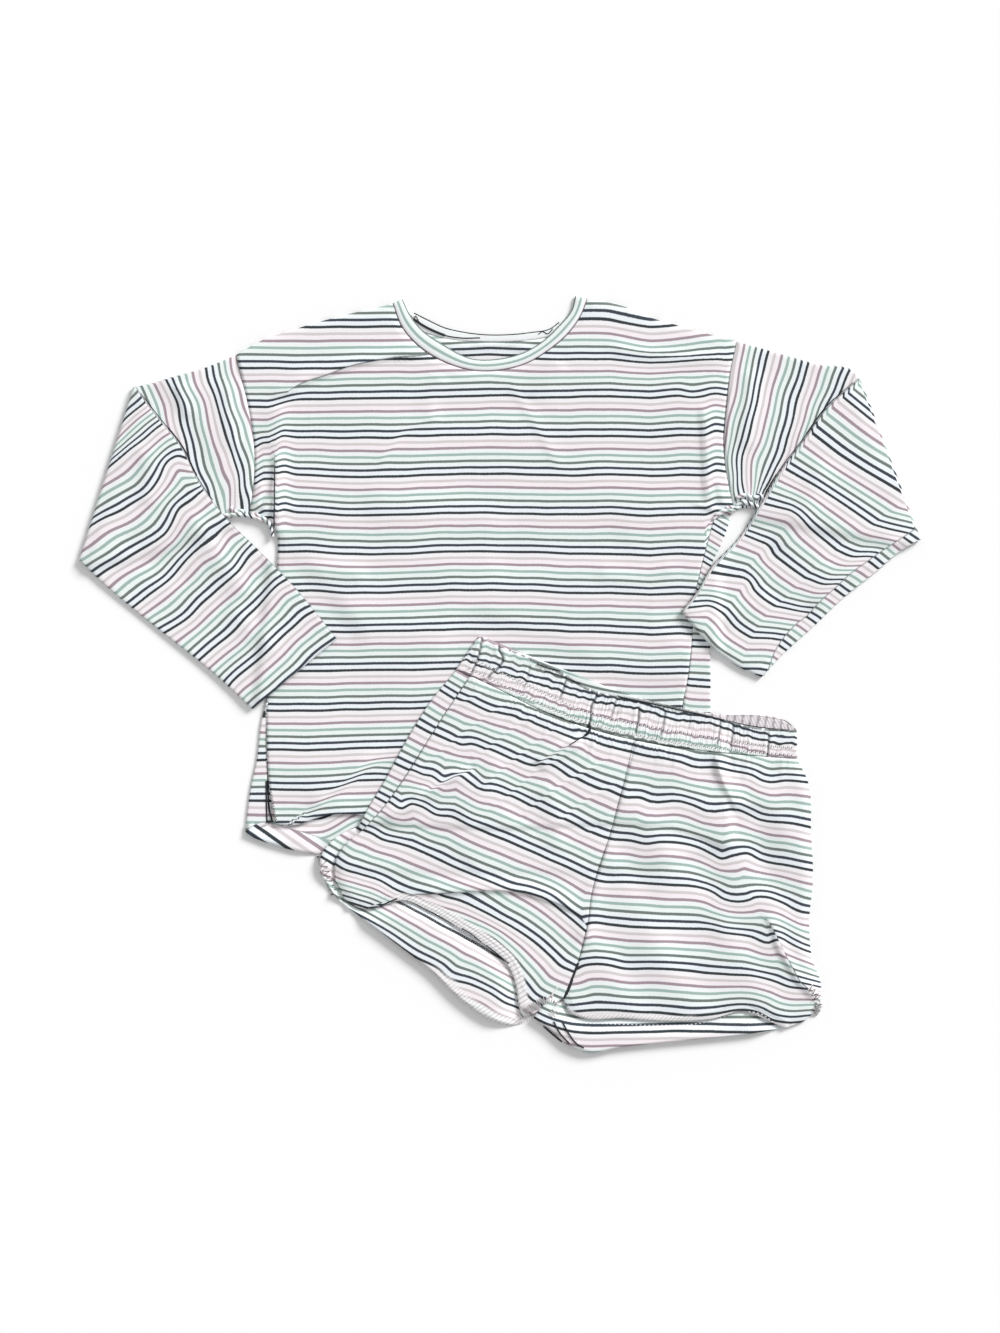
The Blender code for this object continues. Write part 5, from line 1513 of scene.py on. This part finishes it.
def onCloth(spots, trees, lift, lowest):  # the points laid on whichever piece is topmost there
    heights = np.zeros(len(spots))
    for tree in trees:
        for number, (x, y) in enumerate(spots):
            hit = tree.ray_cast(Vector((x, y, 0.1)), Vector((0, 0, -1)))[0]
            heights[number] = max(heights[number], hit.z if hit else 0)
    return np.column_stack([spots, np.maximum(heights + lift, lowest)])


def squareTo(line, shares, near=0.004):  # points of a line and the directions square to it
    ahead = unit(along(line, np.clip(shares + near, 0, 1)) - along(line, np.clip(shares - near, 0, 1)))
    return along(line, shares), np.column_stack([-ahead[:, 1], ahead[:, 0]])


def zigzag(line, width, pitch):
    count = 2 * int(partsOf(line).sum() / pitch) + 1
    spots, square = squareTo(line, np.linspace(0, 1, count))
    return [spots + square * (width / 2 * (-1.0) ** np.arange(count))[:, None]]


def dashes(line, long, pitch, slant=0.0):
    count = int(partsOf(line).sum() / pitch)
    spots, square = squareTo(line, (np.arange(count) + 0.5) / count)
    run = np.column_stack([square[:, 1], -square[:, 0]])
    step = (run * math.cos(slant) + square * math.sin(slant)) * long / 2
    return [np.array((spot - half, spot + half)) for spot, half in zip(spots, step)]


def strand(runs, radius):  # tubes along runs of points, as corners and faces
    corners, faces = [], []
    around = thread["sides"]
    turns = np.arange(around) * math.tau / around
    base = 0
    for run in runs:
        ahead = unit(np.gradient(run, axis=0))
        out = np.cross(ahead, (0, 0, 1.0))
        out /= np.linalg.norm(out, axis=1)[:, None] + 1e-9
        rise = np.cross(out, ahead)
        ringed = [run + radius * (out * math.cos(turn) + rise * math.sin(turn)) for turn in turns]
        corners.append(np.stack(ringed, axis=1).reshape(-1, 3))
        for first in range(base, base + (len(run) - 1) * around, around):
            for turn in range(around):
                near = (turn + 1) % around
                faces.append((first + turn, first + around + turn, first + around + near, first + near))
        last = base + (len(run) - 1) * around
        faces.append(tuple(range(base, base + around)))
        faces.append(tuple(range(last + around - 1, last - 1, -1)))
        base += len(run) * around
    return np.vstack(corners), faces


# some of the sets are dark strands of painted shadow rather than thread
def sewn(name, sets, finish):  # sets of runs, each with its thickness, the cloth it lies on and its lift
    corners, faces = [], []
    base = 0
    for runs, radius, trees, lift in sets:
        laid = onCloth(np.vstack(runs), trees, lift, max(radius, thread["radius"]))
        spots, cells = strand(np.split(laid, np.cumsum([len(run) for run in runs])[:-1]), radius)
        corners.append(spots)
        faces += [tuple(base + corner for corner in cell) for cell in cells]
        base += len(spots)
    mesh = bpy.data.meshes.new(name)
    mesh.from_pydata(np.vstack(corners).tolist(), [], faces)
    return placed(name, mesh, finish)


sewingAndShadowLines = dict(
    leftHemBand=(
        -115.5, -247.8, -98, -255.5, -73.7, -267.4, -49.8, -280.8, -28.7, -293, -13.2, -305, 3.5, -320.5,
    ),
    leftHemInner=(-42, -280, -31, -286.5, -23.1, -293, -10, -302.5, 9.9, -318.6),
    leftHemEdge=(-116.6, -253.6, -97.9, -266.4, -69.3, -282.2, -53.9, -294.3, -20.9, -311.9, 8.5, -327.5),
    leftHemWhite=(9.5, -319.6, 11.8, -333, 15.2, -349, 18.5, -363.5),
    leftCurl=(-199, -198, -192.5, -213, -188, -229, -181.5, -244),
    leftCurlEdge=(-180, -183, -190.5, -196, -190, -213, -181.5, -227, -173.5, -240),
    rightHem=(
        91.3, -384.5, 130, -385.5, 168.3, -386.7, 220, -384.5, 242, -379, 260.7, -372.5, 285, -373.5,
        304.7, -386.7,
    ),
    rightKnot=(340, -344, 348, -356, 350, -366, 345, -374),
    gusset=(22, -376, 40, -364, 53, -358, 64, -364, 56, -376),
    sideStitches=(-257.5, -28.1, -257, -70, -256, -115),
    ventStitches=(-252, -131, -249.5, -145, -245, -163.5),
    backLegHem=(3.3, -382, 15, -386, 26, -384, 36.3, -378),
    # the next three lines carry painted shadow in the vent's opening
    slit=(-255.3, -118, -255, -135, -253.5, -150, -250, -164),
    slitLeft=(-256.8, -118, -256.6, -140, -256, -164),
    slitEnd=(-256, -162.5, -250, -162.5),
    neckSeam=(-96, 390.5, -83.5, 382.2, -71.5, 376.2, -60.5, 371.8, -42, 368.8, -22, 369),
    neckSeamLeft=(-96, 390.5, -83.5, 382.2, -71.5, 376.2, -60.5, 371.8),
    neckKnotLeft=(-98.5, 394.5, -95, 390, -93, 393, -89, 387),
    neckKnotRight=(42, 373, 47, 376, 52, 373.5, 58, 379),
    neckRim=(
        -94.5, 396.2, -80, 389, -60.5, 380, -40, 375.2, -16.5, 372.5, 10, 372.5, 35, 375, 55, 378.8, 65, 386,
    ),
    # the next two lines carry painted shadow in the pocket by the centre seam
    centrePocket=(86, -318, 79, -336, 74.5, -348, 70, -357),
    pocketEnd=(79, -336, 74.5, -348, 70, -357),
    wedge=(50, -385, 60, -392, 72, -400, 85, -407),
    wedgeRight=(69, -383, 76, -396, 85, -407, 92, -411),
    wedgeMiddle=(59, -382, 66, -395, 76, -406),
    wedgeLeft=(48, -388, 57, -396, 68, -405),
    # painted shadow under the hem's edge
    hemCrescent=(-145.5, -257.5, -132, -255.5, -121, -250.5, -113, -247.2),
    bandKnot=(98, -54.5, 98.5, -60, 97.5, -64.5, 93, -68),
    bandKnotTail=(93, -68.5, 84, -73.5, 75.9, -78.7),
    # the next three lines carry painted shadow along the waistband's rim
    rimDark=(
        40.7, 10.4, 49.5, 7.1, 66, 2.7, 82.5, -3.8, 99, -11.5, 110, -17, 132, -25.5, 154, -30.5, 176, -35,
        198, -40.2, 220, -44.8, 242, -50, 267.6, -56, 296.6, -60.5, 319, -62.5,
    ),
    rimUnder=(49.5, 2.8, 66, -2.1, 82.5, -8.7, 99, -16.4),
    rimBehind=(220, -42.8, 250, -46.2, 278, -46.2, 296.6, -48.5, 315, -53, 322.5, -59),
)
curveSteps = dict(rimDark=14, rimUnder=10)
# lines, thickness, the cloth they lie on, lift, and how stitches run along them if they aren't single threads
paleSeams = (
    ("leftHemBand", 0.00034, "shorts", 0.0004, zigzag, 0.0076, 0.0024),
    ("leftCurl", 0.0009, "shorts", 0.0002, zigzag, 0.0080, 0.0024),
    ("neckKnotLeft", 0.00034, "neck", 0.0006, zigzag, 0.0030, 0.0020),
    ("rightHem", 0.0005, "shorts", 0.0006, dashes, 0.0024, 0.0046),
    ("rightKnot", 0.0009, "shorts", 0.0002, zigzag, 0.0080, 0.0024),
    ("gusset", 0.0012, "shorts", 0.0002, zigzag, 0.0075, 0.0026),
    ("wedge", 0.0009, "shorts", 0.0, zigzag, 0.0085, 0.0026),
    ("sideStitches", 0.00034, "top", 0.0002, dashes, 0.0022, 0.0040),
    ("ventStitches", 0.00034, "top", 0.0003, dashes, 0.0016, 0.0030),
    ("backLegHem", 0.0004, "shorts", 0.0004, dashes, 0.0024, 0.0028, 0.9),
    ("leftHemWhite", 0.0006, "shorts", 0.0004),
    ("leftHemEdge", 0.00045, "shorts", 0.0003),
)
darkSeamsAndShadows = (
    ("leftCurl", 0.00045, "shorts", 0.0014, zigzag, 0.0075, 0.0050),
    ("rightKnot", 0.00045, "shorts", 0.0014, zigzag, 0.0075, 0.0050),
    # painted shadows laid as dark strands: under the hem's edge and in the pocket
    ("hemCrescent", 0.0009, "shorts", 0.0001),
    ("centrePocket", 0.0014, "shorts", -0.0002),
    ("pocketEnd", 0.0024, "shorts", -0.0014),
    ("wedgeRight wedgeMiddle wedgeLeft", 0.0009, "shorts", 0.0012),
    # painted shadow in the vent's opening
    ("slit slitLeft", 0.0010, "top", 0.0),
    ("slitEnd", 0.0014, "top", 0.0),
    ("neckSeam", 0.0009, "neck", 0.0),
    ("neckSeamLeft", 0.0014, "neck", 0.0),
    ("neckRim", 0.0007, "neck", 0.0002),
    ("neckKnotLeft neckKnotRight", 0.0006, "neck", 0.0004),
    ("bandKnot", 0.0017, "knot", -0.0002),
    ("bandKnotTail", 0.0006, "leg", 0.0001),
    # painted shadow along the waistband's rim
    ("rimDark", 0.0007, "waist", 0.0004),
    ("rimUnder", 0.0006, "waist", 0.0002),
    ("rimBehind", 0.0006, "waist", 0.0002),
    # the dark strand under the right hem's stitches is painted shadow in their groove
    ("rightHem", 0.00045, "shorts", 0.0001),
    ("leftHemInner", 0.0006, "shorts", 0.0003),
    ("leftCurlEdge", 0.0004, "shorts", 0.0001),
    ("ventStitches", 0.0004, "top", 0.0001),
)
# painted shadows beside the folded forearms, laid as dark strands: side, from which to which height, how far
# aside, thickness
armShadows = (
    ("Left", 0.1900, 0.3100, 0.0008, 0.0004),
    ("Left", 0.2130, 0.2720, 0.0011, 0.0008),
    ("Right", 0.1900, 0.3200, -0.0008, 0.0004),
    ("Right", 0.1950, 0.2200, -0.0011, 0.0008),
    ("Right", 0.2620, 0.3020, -0.0011, 0.0007),
)


def makeSewingAndShadows():
    curves = {name: curve(mm(*places), curveSteps.get(name, 8)) for name, places in sewingAndShadowLines.items()}
    cloths = dict(
        top=(topFront, topBack),
        neck=(band, topBack),
        shorts=(frontLeft, frontRight, backLeft, backRight),
        leg=(frontLeft,),
        knot=(elastic, frontLeft),
        waist=(elastic,),
        Left=(sleeveLeft,),
        Right=(sleeveRight,),
    )
    trees = {piece: treeOf(piece) for pieces in cloths.values() for piece in pieces}
    under = {name: [trees[piece] for piece in pieces] for name, pieces in cloths.items()}
    sets = dict(pale=[], dark=[])
    for colour, rows in (("pale", paleSeams), ("dark", darkSeamsAndShadows)):
        for names, radius, cloth, lift, *way in rows:
            runs = [curves[name] for name in names.split()]
            runs = way[0](*runs, *way[1:]) if way else runs
            sets[colour].append((runs, radius, under[cloth], lift))
    # painted shadows beside the folded forearms' inner edges
    for side, low, high, aside, radius in armShadows:
        edge = lines[f"forearm{side}Inner"]
        part = edge[(edge[:, 1] > low) & (edge[:, 1] < high)] + (aside, 0.0006)
        sets["dark"].append(([part], radius, under[side], 0.0))
    places = np.linspace(0.02, 0.985, 120)
    for at, lean in zip(waistband["seams"], thread["tickLean"]):
        seam = along(lines["bandTopFront"], places) * (1 - at) + along(lines["waistFront"], places) * at
        ticks = dashes(seam, thread["tick"], thread["tickPitch"], lean)
        sets["pale"].append((ticks, thread["radius"] * 1.2, under["waist"], 0.0002))
        ticks = dashes(moved(seam, x=0.0016), thread["tick"] * 0.8, thread["tickPitch"], 1.3)
        sets["dark"].append((ticks, 0.00028, under["waist"], 0.0001))
    return sewn("paleStitches", sets["pale"], paleThread), sewn("darkStitchesAndShadows", sets["dark"], darkThreadAndShadow)


topFront = makeTopFront()
topBack = makeTopBack()
print("top made")
sleeveLeft, sleeveRight = makeSleeve("Left", -1), makeSleeve("Right", 1)
band = makeNeckband()
print("sleeves and neckband made")
frontLeft, frontRight = makeShortsFronts()
backLeft, backRight = makeShortsBacks()
elastic = makeWaistband()
print("shorts made")
paleThread = threadFinish("paleThread", thread["pale"])
darkThreadAndShadow = threadFinish("darkThreadAndShadow", thread["dark"])
paleStitches, darkStitchesAndShadows = makeSewingAndShadows()
print("sewing made")

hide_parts("top_front")
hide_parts("top_back")
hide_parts("sleeve_left")
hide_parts("sleeve_right")
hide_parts("neckband")
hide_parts("shorts_front_left")
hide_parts("shorts_front_right")
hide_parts("shorts_back_left")
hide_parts("shorts_back_right")
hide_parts("waistband")

# the floor, the light and the camera
room = dict(
    floorColour=(0.92, 0.92, 0.92, 1.0),
    sky=0.56,
    key=3.75,
    keyPlace=(2.0, 1.9, 1.35),
    keyAngle=0.35,
    cameraHeight=3.462,
    cameraY=0.0077,
    lens=85.0,
    sensor=36.0,
)


def makeFloor():
    mesh = bpy.data.meshes.new("floor")
    mesh.from_pydata([(-6, -6, 0), (6, -6, 0), (6, 6, 0), (-6, 6, 0)], [], [(0, 1, 2, 3)])
    finish = Finish("paleFloor", 0.95)
    finish.shader.inputs["Base Color"].default_value = room["floorColour"]
    finish.shader.inputs["Specular IOR Level"].default_value = 0.0
    finish.shader.inputs["Sheen Weight"].default_value = 0.0
    mesh.materials.append(finish.material)
    floor = bpy.data.objects.new("floor", mesh)
    bpy.context.scene.collection.objects.link(floor)


def makeLight():
    world = bpy.data.worlds.new("room")
    world.use_nodes = True
    world.node_tree.nodes["Background"].inputs["Color"].default_value = (1.0, 1.0, 1.0, 1.0)
    world.node_tree.nodes["Background"].inputs["Strength"].default_value = room["sky"]
    bpy.context.scene.world = world
    lamp = bpy.data.lights.new("softKey", "SUN")
    lamp.energy = room["key"]
    lamp.angle = room["keyAngle"]
    key = bpy.data.objects.new("softKey", lamp)
    key.location = room["keyPlace"]
    key.rotation_euler = (-Vector(room["keyPlace"])).to_track_quat("-Z", "Y").to_euler()
    bpy.context.scene.collection.objects.link(key)


def makeCamera():
    shot = bpy.data.cameras.new("above")
    shot.sensor_fit = "VERTICAL"
    shot.sensor_height = room["sensor"]
    shot.lens = room["lens"]
    camera = bpy.data.objects.new("above", shot)
    camera.location = (0.0, room["cameraY"], room["cameraHeight"])
    camera.rotation_euler = (0.0, 0.0, 0.0)
    bpy.context.scene.collection.objects.link(camera)
    bpy.context.scene.camera = camera


makeFloor()
makeLight()
makeCamera()
bpy.context.scene.view_settings.view_transform = "Standard"
print("floor, light and camera made")
